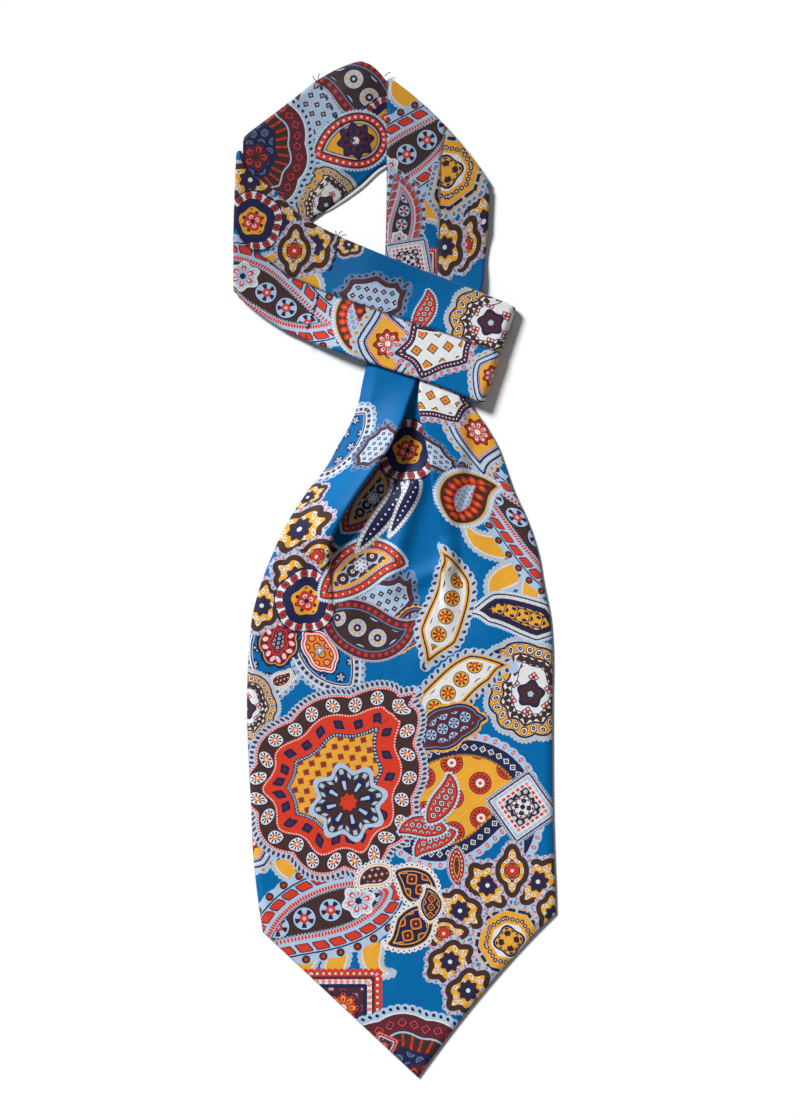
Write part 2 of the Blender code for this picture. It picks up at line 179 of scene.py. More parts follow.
REAR_BLADE = [
    (-9.0, 77.0), (26.0, 77.0), (36.0, 66.0), (48.0, 44.0), (57.0, 22.0), (66.0, -7.0),
    (71.5, -37.0), (72.0, -85.0), (72.8, -141.0), (73.4, -163.0), (41.2, -199.9),
    (10.5, -238.5), (-58.5, -174.8), (-63.5, -141.0), (-66.2, -85.0), (-65.3, -37.0),
    (-58.5, -7.0), (-44.0, 22.0), (-28.0, 46.0),
]
BAND_TURN = [
    (-16.0, 127.0), (-5.0, 131.0), (20.0, 127.0), (46.0, 118.0), (37.0, 91.0), (28.0, 84.0),
    (28.0, 77.4), (-9.0, 77.4), (-9.0, 100.0), (-18.0, 112.0),
]

# How much cloth a strand's centre pleat hides
PLEAT_CLOTH = 14.0

# The photograph's frame: its size, the millimetres in a pixel, and the pixel at x = y = 0
PHOTO_WIDTH, PHOTO_HEIGHT = 800, 1120
PIXEL = 0.487
PHOTO_MIDDLE = (394.6, 569.5)
CAMERA_HEIGHT = 2000.0
SENSOR = 36.0


def smooth_step(value):
    """0 below 0, 1 above 1, and a smooth S between them."""
    value = np.clip(value, 0, 1)
    return value * value * (3 - 2 * value)


def spread(table, shares):
    """The table's rows, joined by a smooth curve, at shares of the way along the sections' middles."""
    rows = np.array(table, dtype=float)
    middles = (rows[:, 0:2] + rows[:, 2:4]) / 2
    travel = np.concatenate([[0], np.cumsum(np.linalg.norm(np.diff(middles, axis=0), axis=1))])
    slopes = np.gradient(rows, travel, axis=0)
    steps = np.asarray(shares) * travel[-1]
    index = np.clip(np.searchsorted(travel, steps, side="right") - 1, 0, len(rows) - 2)
    length = (travel[index + 1] - travel[index])[:, None]
    part = (steps - travel[index])[:, None] / length
    start, end = rows[index], rows[index + 1]
    rise, fall = slopes[index] * length, slopes[index + 1] * length
    return (start * (2 * part**3 - 3 * part**2 + 1) + end * (3 * part**2 - 2 * part**3)
            + rise * (part**3 - 2 * part**2 + part) + fall * (part**3 - part**2))


def new_piece(name, points, faces):
    """A smooth-shaded piece from points in millimetres; it rides with the cravat."""
    mesh = bpy.data.meshes.new(name)
    mesh.from_pydata((points * MM).tolist(), [], faces)
    mesh.update()
    piece = bpy.data.objects.new(name, mesh)
    bpy.context.scene.collection.objects.link(piece)
    mesh.shade_smooth()
    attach(piece, "root")
    return piece


def away_from(side, inward):
    """The side direction or its opposite, whichever points away from the inward direction."""
    return side * -np.sign((side * inward).sum(axis=-1, keepdims=True))


def grid_normals(grid):
    """Unit normals of a grid of points: the cross product of its two directions, pointing up overall."""
    down = np.gradient(grid, axis=0)
    across = np.gradient(grid, axis=1)
    normal = np.cross(across, down)
    return normal / np.maximum(np.linalg.norm(normal, axis=-1, keepdims=True), 1e-9)


def silk_shell(name, grid, wall, under_rows, under_columns):
    """A closed thin shell on a grid of points: a fine face side and a coarse underside.

    Both sides are the grid moved by half of the wall along its normals; at the edges the wall runs
    down to nothing in a quarter circle, so the two sides share their boundary points.
    """
    rows, columns = grid.shape[:2]
    normal = grid_normals(grid)
    turned = normal[..., 2].mean() < 0
    if turned:
        normal = -normal
    edge = np.ones((rows, columns))
    for axis in (0, 1):
        steps = np.linalg.norm(np.diff(grid, axis=axis), axis=-1)
        pad = [(0, 0), (0, 0)]
        pad[axis] = (1, 0)
        run = np.cumsum(np.pad(steps, pad), axis=axis)
        total = np.take(run, [-1], axis=axis)
        inside = np.minimum(np.minimum(run, total - run) / (wall / 2), 1)
        edge = np.minimum(edge, np.sqrt(np.clip(1 - (1 - inside) ** 2, 0, 1)))
    lift = normal * (edge * wall / 2)[..., None]
    top = (grid + lift).reshape(-1, 3)
    low = (grid - lift)[np.ix_(under_rows[1:-1], under_columns[1:-1])].reshape(-1, 3)
    fine = np.arange(rows * columns).reshape(rows, columns)
    faces = np.stack([fine[:-1, :-1], fine[:-1, 1:], fine[1:, 1:], fine[1:, :-1]], -1).reshape(-1, 4)
    coarse = fine[np.ix_(under_rows, under_columns)].copy()
    coarse[1:-1, 1:-1] = rows * columns + np.arange(len(low)).reshape(coarse[1:-1, 1:-1].shape)
    unders = underside(fine, coarse, under_rows, under_columns)
    if turned:
        faces = faces[:, ::-1]
    else:
        unders = [face[::-1] for face in unders]
    return new_piece(name, np.concatenate([top, low]), faces.tolist() + unders)


def underside(fine, coarse, under_rows, under_columns):
    """The underside's faces: plain quads, and at the boundary faces that take in its fine points."""
    last_row, last_column = len(under_rows) - 2, len(under_columns) - 2
    faces = []
    for row in range(last_row + 1):
        top, bottom = under_rows[row], under_rows[row + 1]
        for column in range(last_column + 1):
            left, right = under_columns[column], under_columns[column + 1]
            first = fine[0, left:right] if row == 0 else coarse[row, column:column + 1]
            second = (fine[top:bottom, -1] if column == last_column
                      else coarse[row, column + 1:column + 2])
            third = (fine[-1, right:left:-1] if row == last_row
                     else coarse[row + 1, column + 1:column + 2])
            fourth = (fine[bottom:top:-1, 0] if column == 0
                      else coarse[row + 1, column:column + 1])
            faces.append(np.concatenate([first, second, third, fourth]).tolist())
    return faces


def every(count, step, keep=()):
    """Indices from 0 to count - 1 in even steps, with the ends and the kept ones."""
    return sorted({*range(0, count, step), count - 1, *keep})


def band_grid(table, count, across):
    """Points of a strand's wall middle: sections from edge to edge, bowed, stepped at the pleat line."""
    rows = spread(table, np.linspace(0, 1, count))
    start, end, height, pleat, bow = np.split(rows, [2, 4, 5, 6], axis=1)
    half = np.linspace(0, 1, across // 2)
    first = half * (pleat - PLEAT_STEP_SHARE)
    second = 1 - half[::-1] * (1 - pleat - PLEAT_STEP_SHARE)
    place = np.concatenate([first, second], axis=1)
    ahead = end - start
    side = np.stack([ahead[:, 1], -ahead[:, 0]], axis=1) / np.linalg.norm(ahead, axis=1)[:, None]
    outward = away_from(side, np.gradient((start + end) / 2, axis=0))
    swell = 4 * place * (1 - place) * bow
    points = start[:, None] + ahead[:, None] * place[..., None] + outward[:, None] * swell[..., None]
    dip = PLEAT_GROOVE * np.exp(-((pleat - first) / PLEAT_GROOVE_WIDTH) ** 2)
    step = np.concatenate([PLEAT_STEP + dip, np.zeros_like(second)], axis=1)
    return np.concatenate([points, (height - step)[..., None]], axis=-1)


# A fold's steps, its run back under the strand, and the least space to the next section
FOLD_STEPS = 14
FOLD_RETURN = 0.8
FOLD_SPACE = 0.4


def fold_under(grid, cloth):
    """The strand with a half turn down to the surface before its first section, and its cloth points.

    The half turn's radius is half of the height it goes down. The section is set back first, so that
    the turn's outside reaches the fold's measured line, and a short run goes back under the strand.
    """
    first = grid[0]
    ahead = first[-1, :2] - first[0, :2]
    side = np.array([ahead[1], -ahead[0]]) / np.linalg.norm(ahead)
    outward = away_from(side, grid[3, :, :2].mean(axis=0) - first[:, :2].mean(axis=0))
    radius = (first[:, 2] - FLOOR_BAND) / 2
    line = first[:, :2] - outward * (radius + BAND_WALL / 2)[:, None]
    turn = np.linspace(math.pi, 0, FOLD_STEPS + 1)[:, None]
    out = radius * np.sin(turn)
    up = FLOOR_BAND + radius * (1 + np.cos(turn))
    half_turn = np.concatenate([line + outward * out[..., None], up[..., None]], axis=-1)
    back = half_turn[:1].copy()
    back[..., :2] -= outward * FOLD_RETURN
    beyond = ((line - grid[1:, :, :2]) @ outward).mean(axis=1) > FOLD_SPACE
    on_line = cloth[0] - outward * (radius + BAND_WALL / 2)[:, None]
    turned = on_line + outward * (radius * turn)[..., None]
    returned = turned[:1] + outward * FOLD_RETURN
    return (np.concatenate([back, half_turn, grid[1:][beyond]]),
            np.concatenate([returned, turned, cloth[1:][beyond]]))


def top_grid(count, across):
    """The top strand's grid: flat on the surface, the back of the band up."""
    rows = spread(TOP_STRAND, np.linspace(0, 1, count))
    place = np.linspace(0, 1, across)[:, None]
    points = rows[:, None, 0:2] + (rows[:, None, 2:4] - rows[:, None, 0:2]) * place
    x, y = points[..., 0], points[..., 1]
    near = (smooth_step((SWELL_RIGHT - x) / SWELL_RIGHT_RUN)
            * smooth_step((x - SWELL_LEFT) / SWELL_LEFT_RUN))
    inside = (smooth_step(np.minimum(place, 1 - place)[..., 0] / SWELL_SIDE_SHARE)
              * smooth_step((y - SWELL_LOWEST) / SWELL_LOWEST_RUN))
    return np.stack([x, y, FLOOR_BAND + STRAND_SWELL * near * inside], axis=-1)


# The steps of the pleat's turns, its tucks, its floor and the blade's two sides
TURN_STEPS = 8
TUCK_STEPS = 6
VALLEY_STEPS = 56
FLAP_STEPS = (50, 44)


def pleat_path(flap, tuck, turn, side):
    """One fold of the box pleat, in distances across and heights below the flap's level.

    The path turns down through the turn angle, goes under by the tuck and turns level again. Both
    turns keep the cloth's length in them, so a smaller angle has a larger radius.
    """
    radius = PLEAT_RADIUS * math.pi / turn
    swing = turn * np.linspace(0, 1, TURN_STEPS + 1)
    down = radius[..., None] * np.stack([np.sin(swing), np.cos(swing) - 1], axis=-1)
    last = down[:, -1:]
    heading = np.stack([np.cos(turn), -np.sin(turn)], axis=-1)
    across = last + tuck[..., None] * heading
    middle = last + tuck[..., None] * heading * np.linspace(0, 1, TUCK_STEPS + 1)[1:-1, None]
    level = across + (last - down[:, ::-1])
    path = np.concatenate([down, middle, level], axis=1)
    edge = radius * np.sin(np.minimum(turn, math.pi / 2)) + BLADE_WALL / 2
    return flap + side * (path[..., 0] - edge), path[..., 1]


def span(start, end, count):
    """Even steps from a column of starts to a column of ends."""
    return start + (end - start) * np.linspace(0, 1, count)


def blade_relief(x, y):
    """Soft ridges: a bell across each ridge's line, fading beyond its ends."""
    height = np.zeros_like(x)
    for start_x, start_y, end_x, end_y, top, width in BLADE_RIDGES:
        run = np.array([end_x - start_x, end_y - start_y])
        length = np.linalg.norm(run)
        along = ((x - start_x) * run[0] + (y - start_y) * run[1]) / length
        off = ((x - start_x) * run[1] - (y - start_y) * run[0]) / length
        beyond = np.maximum(np.maximum(-along, along - length), 0)
        height += top * np.exp(-(off / width) ** 2 - (beyond / (RIDGE_FADE * width)) ** 2)
    return height


def flap_lift(x, y, flaps):
    """How far each flap stands off the pleat's floor: a bell across its edge, and one along it.

    A flap has the whole lift. Round its fold the lift goes to nothing by half a cosine, so that the
    pleat's floor stays where it is.
    """
    turned = (1 + np.cos(np.linspace(0, math.pi, TURN_STEPS + 1))) / 2
    lift = np.zeros_like(x)
    for way, flap, steps, (height, row, half, width) in zip((1, -1), flaps, FLAP_STEPS, FLAP_LIFTS):
        bell = height * smooth_step(LIFT_REACH - np.abs(y - row) / half)
        near = (bell * np.exp(-((x - flap) / width) ** 2))[:, ::way]
        near[:, steps:steps + TURN_STEPS + 1] *= turned
        near[:, steps + TURN_STEPS + 1:] = 0
        lift += near[:, ::way]
    return lift


def blade_grid(count):
    """The front blade's grid and its cloth points.

    Each section runs from the left edge to the left flap, through that fold, the pleat's floor and
    the right fold, and out to the right edge. Its cloth points are the length along the section from
    the floor's middle, and the height up the blade.
    """
    rows = spread(FRONT_BLADE, np.linspace(0, 1, count))
    rows = np.maximum(rows, [-np.inf] * 6 + [LEAST_TUCK, LEAST_TURN, 0, 0])
    rows[:, 7] = np.minimum(rows[:, 7], 180)
    left, left_y, right, right_y, flap_left, flap_right, tuck, turn, base, dip = np.split(rows, 10, axis=1)
    turn = np.radians(turn)
    x_left, z_left = pleat_path(flap_left, tuck, turn, 1)
    x_right, z_right = pleat_path(flap_right, tuck, turn, -1)
    x_right, z_right = x_right[:, ::-1], z_right[:, ::-1]
    drop = -z_left[:, -1:]
    run_left = span(left, x_left[:, :1], FLAP_STEPS[0] + 1)[:, :-1]
    run_right = span(x_right[:, -1:], right, FLAP_STEPS[1] + 1)[:, 1:]
    valley = span(x_left[:, -1:], x_right[:, :1], VALLEY_STEPS + 1)[:, 1:-1]
    under = 2 * PLEAT_RADIUS + BLADE_WALL + CLEAR
    rise_left = smooth_step((run_left - (flap_left - tuck - under - FLAP_RAMP)) / FLAP_RAMP)
    rise_right = smooth_step(((flap_right + tuck + under + FLAP_RAMP) - run_right) / FLAP_RAMP)
    x = np.concatenate([run_left, x_left, valley, x_right, run_right], axis=1)
    z = np.concatenate([base + drop * rise_left, base + drop + z_left, base + 0 * valley,
                        base + drop + z_right, base + drop * rise_right], axis=1)
    part = (x - left) / (right - left)
    tip = (TIP_X - left) / (right - left)
    beside = np.clip((part - tip) / (1 - tip), 0, 1)
    tent = np.where(part < tip, part / tip, 1 - beside)
    sag = LOWER_RIGHT_SAG * dip / dip[-1] * 4 * beside * (1 - beside)
    y = left_y + (right_y - left_y) * part - dip * tent + sag
    lower = np.interp(x, x[-1], y[-1])
    inside = np.minimum(np.minimum(x - left, right - x), LOWER_EDGE_SLANT * (y - lower))
    hem = HEM_DROP * (NECK_BLADE - base) / (NECK_BLADE - REST_BLADE) * (1 - smooth_step(inside / HEM_WIDTH))
    path = np.cumsum(np.pad(np.hypot(np.diff(x, axis=1), np.diff(z, axis=1)), [(0, 0), (1, 0)]), axis=1)
    middle = FLAP_STEPS[0] + x_left.shape[1] + VALLEY_STEPS // 2 - 1
    around = path - path[:, middle:middle + 1] + x[:, middle:middle + 1]
    z = z + blade_relief(x, y) + flap_lift(x, y, (flap_left, flap_right)) - hem
    folds = range(FLAP_STEPS[0], FLAP_STEPS[0] + x_left.shape[1])
    other = range(x.shape[1] - FLAP_STEPS[1] - x_right.shape[1], x.shape[1] - FLAP_STEPS[1])
    return np.stack([x, y, z], axis=-1), np.stack([around, y], axis=-1), [*folds, *other]


# Print colours as seen on screen, 0 to 255
INKS = {
    "azure": (0, 101, 162), "pale": (170, 193, 218), "white": (222, 222, 224), "red": (210, 60, 38),
    "orange": (232, 124, 44), "gold": (228, 164, 54), "maroon": (92, 44, 50), "brown": (68, 48, 46),
    "navy": (36, 38, 76), "slate": (98, 126, 164),
}

# The kinds of motif, all sizes in millimetres. An outline is its length, width, how far tail and tip
# are drawn in, its curl, the number and depth of its lobes, and its straight sides if it has any. A
# band is its width, ground, figure, ring and eye colours, then the figures in a repeat, their radius,
# power (1 a diamond, 2 round, 6 square) and stretch. A line is a width and a colour, and where it is
# beaded, the beads' colour and their number in a repeat. A field is its ground, the figures' spacing,
# radius and power, and their figure, ring and eye colours. A heart is its place, radius, lobes and
# four colours from its rim in. Rays are those of the outer band's figures and of the field's, slants
# those of the halo's figures and of the outer band's.
MOTIFS = {
    "great boteh": {
        "outline": (102, 84, 0.0, 0.7, -0.12, 11, 0.09, 0), "repeat": 12.4,
        "halo": (3.8, "pale", "maroon", "maroon", "maroon", 5, 1.2, 2, 0.62),
        "line": (1.1, "red", "white", 9),
        "outer": (8.2, "brown", "white", "navy", "orange", 1, 3.4, 2, 1.0),
        "rule": (1.2, "red", "white", 8),
        "inner": (8.4, "red", "navy", "maroon", "maroon", 1, 2.2, 6, 1.0), "edge": (1.9, "navy", "pale", 6),
        "field": ("gold", 5.2, 1.55, 1, "red", "red", "maroon"),
        "heart": (-12, -10, 18, 8, "pale", "brown", "navy", "red"),
        "slants": (0.5, 0),
        "rays": (9, 0)},
    "maroon boteh": {
        "outline": (84, 62, 0.1, 0.5, 0.3, 12, 0.07, 0), "repeat": 7.5,
        "halo": (4.6, "pale", "navy", "navy", "navy", 2, 1.0, 2, 1.0), "line": (0.8, "white"),
        "outer": (9.5, "maroon", "red", "red", "navy", 1, 2.6, 1, 1.0), "rule": (1.0, "pale"),
        "inner": (7.5, "brown", "red", "red", "maroon", 1, 3.4, 6, 0.15), "edge": (1.4, "navy"),
        "field": ("navy", 6.4, 2.3, 2, "slate", "navy", "maroon"),
        "heart": (-6, 0, 9, 5, "navy", "maroon", "red", "brown"),
        "rays": (0, 9),
        "slants": (0.3, 0)},
    "long paisley": {
        "outline": (88, 38, 0.1, 0.6, 0.25, 0, 0, 0), "repeat": 8.2,
        "halo": (4.4, "pale", "brown", "brown", "red", 1, 2.0, 2, 1.0), "line": (0.75, "navy"),
        "outer": (5.4, "pale", "red", "red", "red", 1, 1.75, 12, 1.55), "rule": (0.9, "pale"),
        "inner": (2.8, "pale", "red", "red", "red", 5, 1.15, 2, 0.45), "edge": (0.8, "brown", "pale", 5),
        "field": ("brown", 13.5, 5.4, 2, "pale", "navy", "red"),
        "heart": (-21, 0, 7.6, 6, "white", "pale", "red", "navy"),
        "rays": (0, 5),
        "slants": (0, 0.4)},
    "gold leaf": {
        "outline": (88, 56, 0.0, 0.85, -0.95, 0, 0, 0), "repeat": 5.0,
        "halo": (4.2, "pale", "red", "red", "white", 1, 1.3, 2, 0.7), "line": (0.65, "navy"),
        "outer": (5.6, "navy", "white", "white", "brown", 1, 1.75, 1, 1.0), "rule": (0.65, "navy"),
        "inner": (0.9, "gold", "brown", "brown", "gold", 2, 0.75, 2, 1.0), "edge": (0.2, "gold"),
        "field": ("gold", 15.5, 5.2, 2, "red", "brown", "white"), "heart": None,
        "rays": (0, 14)},
    "octagon": {
        "outline": (36, 36, 0, 0, 0, 0, 0, 8), "repeat": 5.0,
        "halo": (3.4, "pale", "maroon", "pale", "pale", 2, 0.7, 6, 1.0), "line": (0.7, "gold"),
        "outer": (1.9, "pale", "navy", "navy", "navy", 1, 0.8, 6, 2.4), "rule": (1.2, "gold"),
        "inner": (4.6, "gold", "navy", "navy", "white", 2, 1.1, 2, 1.0), "edge": (0.8, "white"),
        "field": ("white", 9.0, 1.4, 1, "gold", "gold", "navy"),
        "heart": (0, 0, 7, 4, "navy", "gold", "brown", "gold"),
        "rays": (0, 0)},
    "cross flower": {
        "outline": (25, 18.5, 0, 0, 0, 6, 0.2, 0), "repeat": 3.2,
        "halo": (2.1, "pale", "red", "red", "pale", 1, 0.85, 2, 0.7), "line": (2.0, "brown"),
        "outer": (0.3, "brown", "brown", "brown", "brown", 0.5, 0.3, 2, 1.0), "rule": (0.35, "brown"),
        "inner": (2.3, "gold", "white", "brown", "brown", 0.5, 1.0, 2, 1.0), "edge": (0.6, "gold"),
        "field": ("gold", 40.0, 0.1, 2, "gold", "gold", "gold"),
        "heart": (0, 0, 4.8, 8, "brown", "navy", "navy", "white")},
    "red flower": {
        "outline": (24, 15, 0, 0, 0, 4, 0.26, 0), "repeat": 3.2,
        "halo": (1.9, "pale", "red", "red", "pale", 1, 0.85, 2, 0.7), "line": (1.9, "brown"),
        "outer": (0.3, "brown", "brown", "brown", "brown", 0.5, 0.2, 2, 1.0), "rule": (0.35, "brown"),
        "inner": (1.8, "gold", "white", "white", "navy", 0.5, 1.0, 2, 1.0), "edge": (0.5, "navy"),
        "field": ("gold", 40.0, 0.1, 2, "gold", "gold", "gold"),
        "heart": (0, 0, 3.6, 4, "maroon", "red", "red", "white")},
    "ring flower": {
        "outline": (31, 31, 0, 0, 0, 5, 0.07, 0), "repeat": 6.4,
        "halo": (0.6, "navy", "navy", "navy", "navy", 1, 0.1, 2, 1.0), "line": (0.55, "navy"),
        "outer": (3.6, "white", "red", "red", "maroon", 1, 1.5, 3, 1.0), "rule": (0.85, "navy"),
        "inner": (3.4, "navy", "navy", "navy", "navy", 1, 0.4, 2, 1.0), "edge": (0.7, "gold"),
        "field": ("gold", 3.4, 0.95, 2, "brown", "brown", "brown"),
        "heart": (0, 0, 4.6, 4, "red", "red", "white", "navy"),
        "rays": (0, 0)},
    "beaded leaf": {
        "outline": (47, 22, 0.5, 0.4, 0.4, 0, 0, 0), "repeat": 3.6,
        "halo": (1.8, "pale", "white", "white", "white", 3, 0.4, 2, 1.0), "line": (0.65, "brown"),
        "outer": (2.5, "red", "brown", "brown", "white", 1, 0.75, 2, 1.0), "rule": (0.65, "brown"),
        "inner": (1.0, "pale", "red", "red", "red", 3, 0.35, 2, 1.0), "edge": (1.4, "gold"),
        "field": ("pale", 6.0, 2.5, 2, "maroon", "brown", "white"),
        "heart": (2, 0, 4.0, 6, "navy", "white", "pale", "white"),
        "rays": (0, 5)},
    "wheel leaf": {
        "outline": (50, 26, 0.3, 0.6, 0.5, 0, 0, 0), "repeat": 3.8,
        "halo": (1.2, "pale", "red", "red", "red", 3, 0.35, 2, 1.0), "line": (0.65, "brown"),
        "outer": (3.2, "maroon", "red", "navy", "red", 1, 1.0, 6, 1.0), "rule": (0.6, "slate"),
        "inner": (0.8, "brown", "brown", "brown", "brown", 1, 0.2, 2, 1.0), "edge": (0.3, "brown"),
        "field": ("brown", 11.0, 4.4, 2, "pale", "gold", "navy"), "heart": None,
        "rays": (0, 8)},
    "petal": {
        "outline": (36, 23, 0.3, 0.4, 0.3, 8, -0.16, 0), "repeat": 3.6,
        "halo": (3.2, "slate", "brown", "brown", "brown", 1, 0.8, 2, 1.0), "line": (0.85, "brown"),
        "outer": (1.0, "maroon", "maroon", "maroon", "maroon", 1, 0.2, 2, 1.0), "rule": (0.75, "brown"),
        "inner": (0.6, "pale", "pale", "pale", "pale", 1, 0.2, 2, 1.0), "edge": (0.2, "pale"),
        "field": ("pale", 4.6, 1.25, 1, "maroon", "maroon", "white"), "heart": None,
        "rays": (0, 4)},
    "veined leaf": {
        "outline": (37, 20, 0.3, 0.5, -0.2, 7, 0.1, 0), "repeat": 4.0,
        "halo": (1.3, "gold", "gold", "gold", "gold", 1, 0.2, 2, 1.0), "line": (0.95, "navy"),
        "outer": (0.6, "slate", "slate", "slate", "slate", 1, 0.2, 2, 1.0), "rule": (0.55, "maroon"),
        "inner": (1.4, "maroon", "maroon", "maroon", "maroon", 1, 0.2, 2, 1.0), "edge": (0.2, "maroon"),
        "field": ("maroon", 6.2, 2.7, 1.6, "pale", "navy", "slate"), "heart": None,
        "rays": (0, 6)},
    "white leaf": {
        "outline": (56, 20, 0.2, 0.45, 0.3, 6, -0.14, 0), "repeat": 3.8,
        "halo": (3.2, "pale", "maroon", "maroon", "maroon", 1, 1.05, 2, 0.75), "line": (0.8, "gold"),
        "outer": (0.8, "navy", "navy", "navy", "navy", 1, 0.2, 2, 1.0), "rule": (0.9, "gold"),
        "inner": (0.9, "white", "white", "white", "white", 1, 0.2, 2, 1.0), "edge": (0.3, "white"),
        "field": ("white", 9.4, 3.5, 2, "gold", "maroon", "red"), "heart": None,
        "rays": (0, 7),
        "slants": (0.5, 0)},
    "gem leaf": {
        "outline": (37, 26, 0.0, 0.8, 0.1, 4, -0.24, 0), "repeat": 4.0,
        "halo": (3.4, "pale", "gold", "gold", "brown", 1, 1.1, 2, 0.8), "line": (0.85, "navy"),
        "outer": (1.9, "pale", "white", "white", "white", 3, 0.4, 2, 1.0), "rule": (0.85, "navy"),
        "inner": (1.1, "pale", "red", "red", "red", 3, 0.4, 2, 1.0), "edge": (0.8, "gold"),
        "field": ("gold", 40.0, 0.1, 2, "gold", "gold", "gold"),
        "heart": (-3, 0, 6.2, 8, "maroon", "red", "white", "white")},
    "flame leaf": {
        "outline": (40, 19, 0.2, 0.6, -0.35, 0, 0, 0), "repeat": 5.0,
        "halo": (2.2, "pale", "white", "white", "white", 3, 0.5, 2, 1.0), "line": (0.7, "gold"),
        "outer": (0.8, "brown", "brown", "brown", "brown", 1, 0.2, 2, 1.0), "rule": (0.45, "brown"),
        "inner": (4.0, "brown", "red", "red", "orange", 1, 2.0, 1.5, 0.8), "edge": (0.5, "red"),
        "field": ("pale", 3.0, 1.0, 2, "maroon", "maroon", "pale"), "heart": None,
        "rays": (0, 0)},
    "navy leaf": {
        "outline": (48, 19, 0.2, 0.7, 0.25, 6, -0.14, 0), "repeat": 4.0,
        "halo": (1.8, "pale", "white", "white", "white", 3, 0.4, 2, 1.0), "line": (0.75, "brown"),
        "outer": (1.5, "white", "pale", "pale", "pale", 3, 0.4, 2, 1.0), "rule": (0.75, "brown"),
        "inner": (1.8, "navy", "navy", "navy", "navy", 1, 0.2, 2, 1.0), "edge": (0.2, "navy"),
        "field": ("navy", 6.4, 3.0, 5, "gold", "navy", "gold"), "heart": None,
        "rays": (0, 3)},
    "curl boteh": {
        "outline": (50, 40, 0.0, 0.5, 0.7, 12, 0.08, 0), "repeat": 5.4,
        "halo": (2.8, "pale", "gold", "gold", "gold", 3, 0.5, 2, 1.0), "line": (0.95, "navy"),
        "outer": (4.6, "gold", "white", "white", "maroon", 1, 1.7, 2, 0.8), "rule": (0.95, "navy"),
        "inner": (3.2, "white", "brown", "brown", "brown", 1, 1.9, 1, 1.0), "edge": (0.5, "navy"),
        "field": ("white", 8.6, 2.4, 1.0, "red", "white", "maroon"),
        "heart": (-4, 0, 6.4, 5, "navy", "brown", "maroon", "pale"),
        "rays": (0, 4)},
    "square": {
        "outline": (37, 37, 0, 0, 0, 0, 0, 4), "repeat": 2.9,
        "halo": (1.6, "pale", "navy", "navy", "navy", 2, 0.35, 2, 1.0), "line": (0.9, "maroon"),
        "outer": (2.4, "white", "pale", "pale", "pale", 1, 0.9, 2, 1.6), "rule": (0.3, "white"),
        "inner": (1.7, "white", "red", "red", "red", 1, 0.7, 6, 1.4), "edge": (0.3, "white"),
        "field": ("navy", 3.2, 1.1, 2, "white", "navy", "white"),
        "heart": (0, 0, 6.0, 4, "maroon", "white", "navy", "navy"),
        "rays": (0, 6)},
    "red square": {
        "outline": (52, 52, 0, 0, 0, 0, 0, 4), "repeat": 2.9,
        "halo": (0.8, "red", "red", "red", "red", 1, 0.2, 2, 1.0), "line": (0.4, "red"),
        "outer": (2.6, "red", "maroon", "red", "white", 1, 1.0, 2, 0.9), "rule": (1.5, "maroon"),
        "inner": (2.2, "white", "red", "red", "white", 1, 1.3, 1, 0.8), "edge": (1.8, "navy"),
        "field": ("brown", 5.5, 2.1, 1, "red", "maroon", "pale"),
        "heart": (0, 0, 8, 8, "navy", "red", "gold", "white"),
        "rays": (0, 0)},
    "window leaf": {
        "outline": (28, 17, 0.1, 0.6, 0.3, 4, -0.12, 0), "repeat": 2.6,
        "halo": (2.4, "white", "navy", "navy", "navy", 1, 0.45, 2, 1.0), "line": (0.4, "gold"),
        "outer": (1.0, "navy", "navy", "navy", "navy", 1, 0.2, 2, 1.0), "rule": (0.45, "navy"),
        "inner": (0.5, "gold", "gold", "gold", "gold", 1, 0.2, 2, 1.0), "edge": (0.2, "navy"),
        "field": ("navy", 7.0, 3.2, 1.3, "gold", "red", "brown"), "heart": None,
        "rays": (0, 0)},
    "striped leaf": {
        "outline": (20, 8, 0.4, 0.7, 0.1, 0, 0, 0), "repeat": 2.4,
        "halo": (1.4, "pale", "red", "red", "red", 2, 0.35, 2, 1.0), "line": (0.65, "maroon"),
        "outer": (1.1, "red", "white", "white", "white", 1, 0.35, 2, 1.0), "rule": (0.55, "maroon"),
        "inner": (0.3, "gold", "gold", "gold", "gold", 1, 0.1, 2, 1.0), "edge": (0.1, "gold"),
        "field": ("gold", 3.6, 1.3, 6, "maroon", "maroon", "maroon"), "heart": None,
        "rays": (0, 0)},
    "seed leaf": {
        "outline": (27, 11, 0.4, 0.6, 0.3, 0, 0, 0), "repeat": 3.4,
        "halo": (1.4, "pale", "white", "white", "white", 2, 0.4, 2, 1.0), "line": (0.65, "maroon"),
        "outer": (0.5, "red", "red", "red", "red", 1, 0.2, 2, 1.0), "rule": (0.1, "red"),
        "inner": (0.4, "red", "red", "red", "red", 1, 0.2, 2, 1.0), "edge": (0.1, "red"),
        "field": ("red", 3.6, 1.35, 1.5, "white", "white", "brown"), "heart": None,
        "rays": (0, 0)},
    "flame": {
        "outline": (28, 9.5, 0.1, 0.8, -0.7, 0, 0, 0), "repeat": 2.2,
        "halo": (2.4, "pale", "gold", "gold", "gold", 1, 0.45, 2, 1.0), "line": (0.5, "white"),
        "outer": (1.0, "gold", "gold", "gold", "gold", 1, 0.2, 2, 1.0), "rule": (0.1, "gold"),
        "inner": (0.4, "gold", "gold", "gold", "gold", 1, 0.2, 2, 1.0), "edge": (0.1, "gold"),
        "field": ("gold", 40.0, 0.1, 2, "gold", "gold", "gold"), "heart": None},
    "gold lace": {
        "outline": (24, 15, 0.1, 0.2, 0.1, 6, 0.1, 0), "repeat": 2.8,
        "halo": (1.2, "navy", "navy", "navy", "navy", 1, 0.1, 2, 1.0), "line": (0.6, "white"),
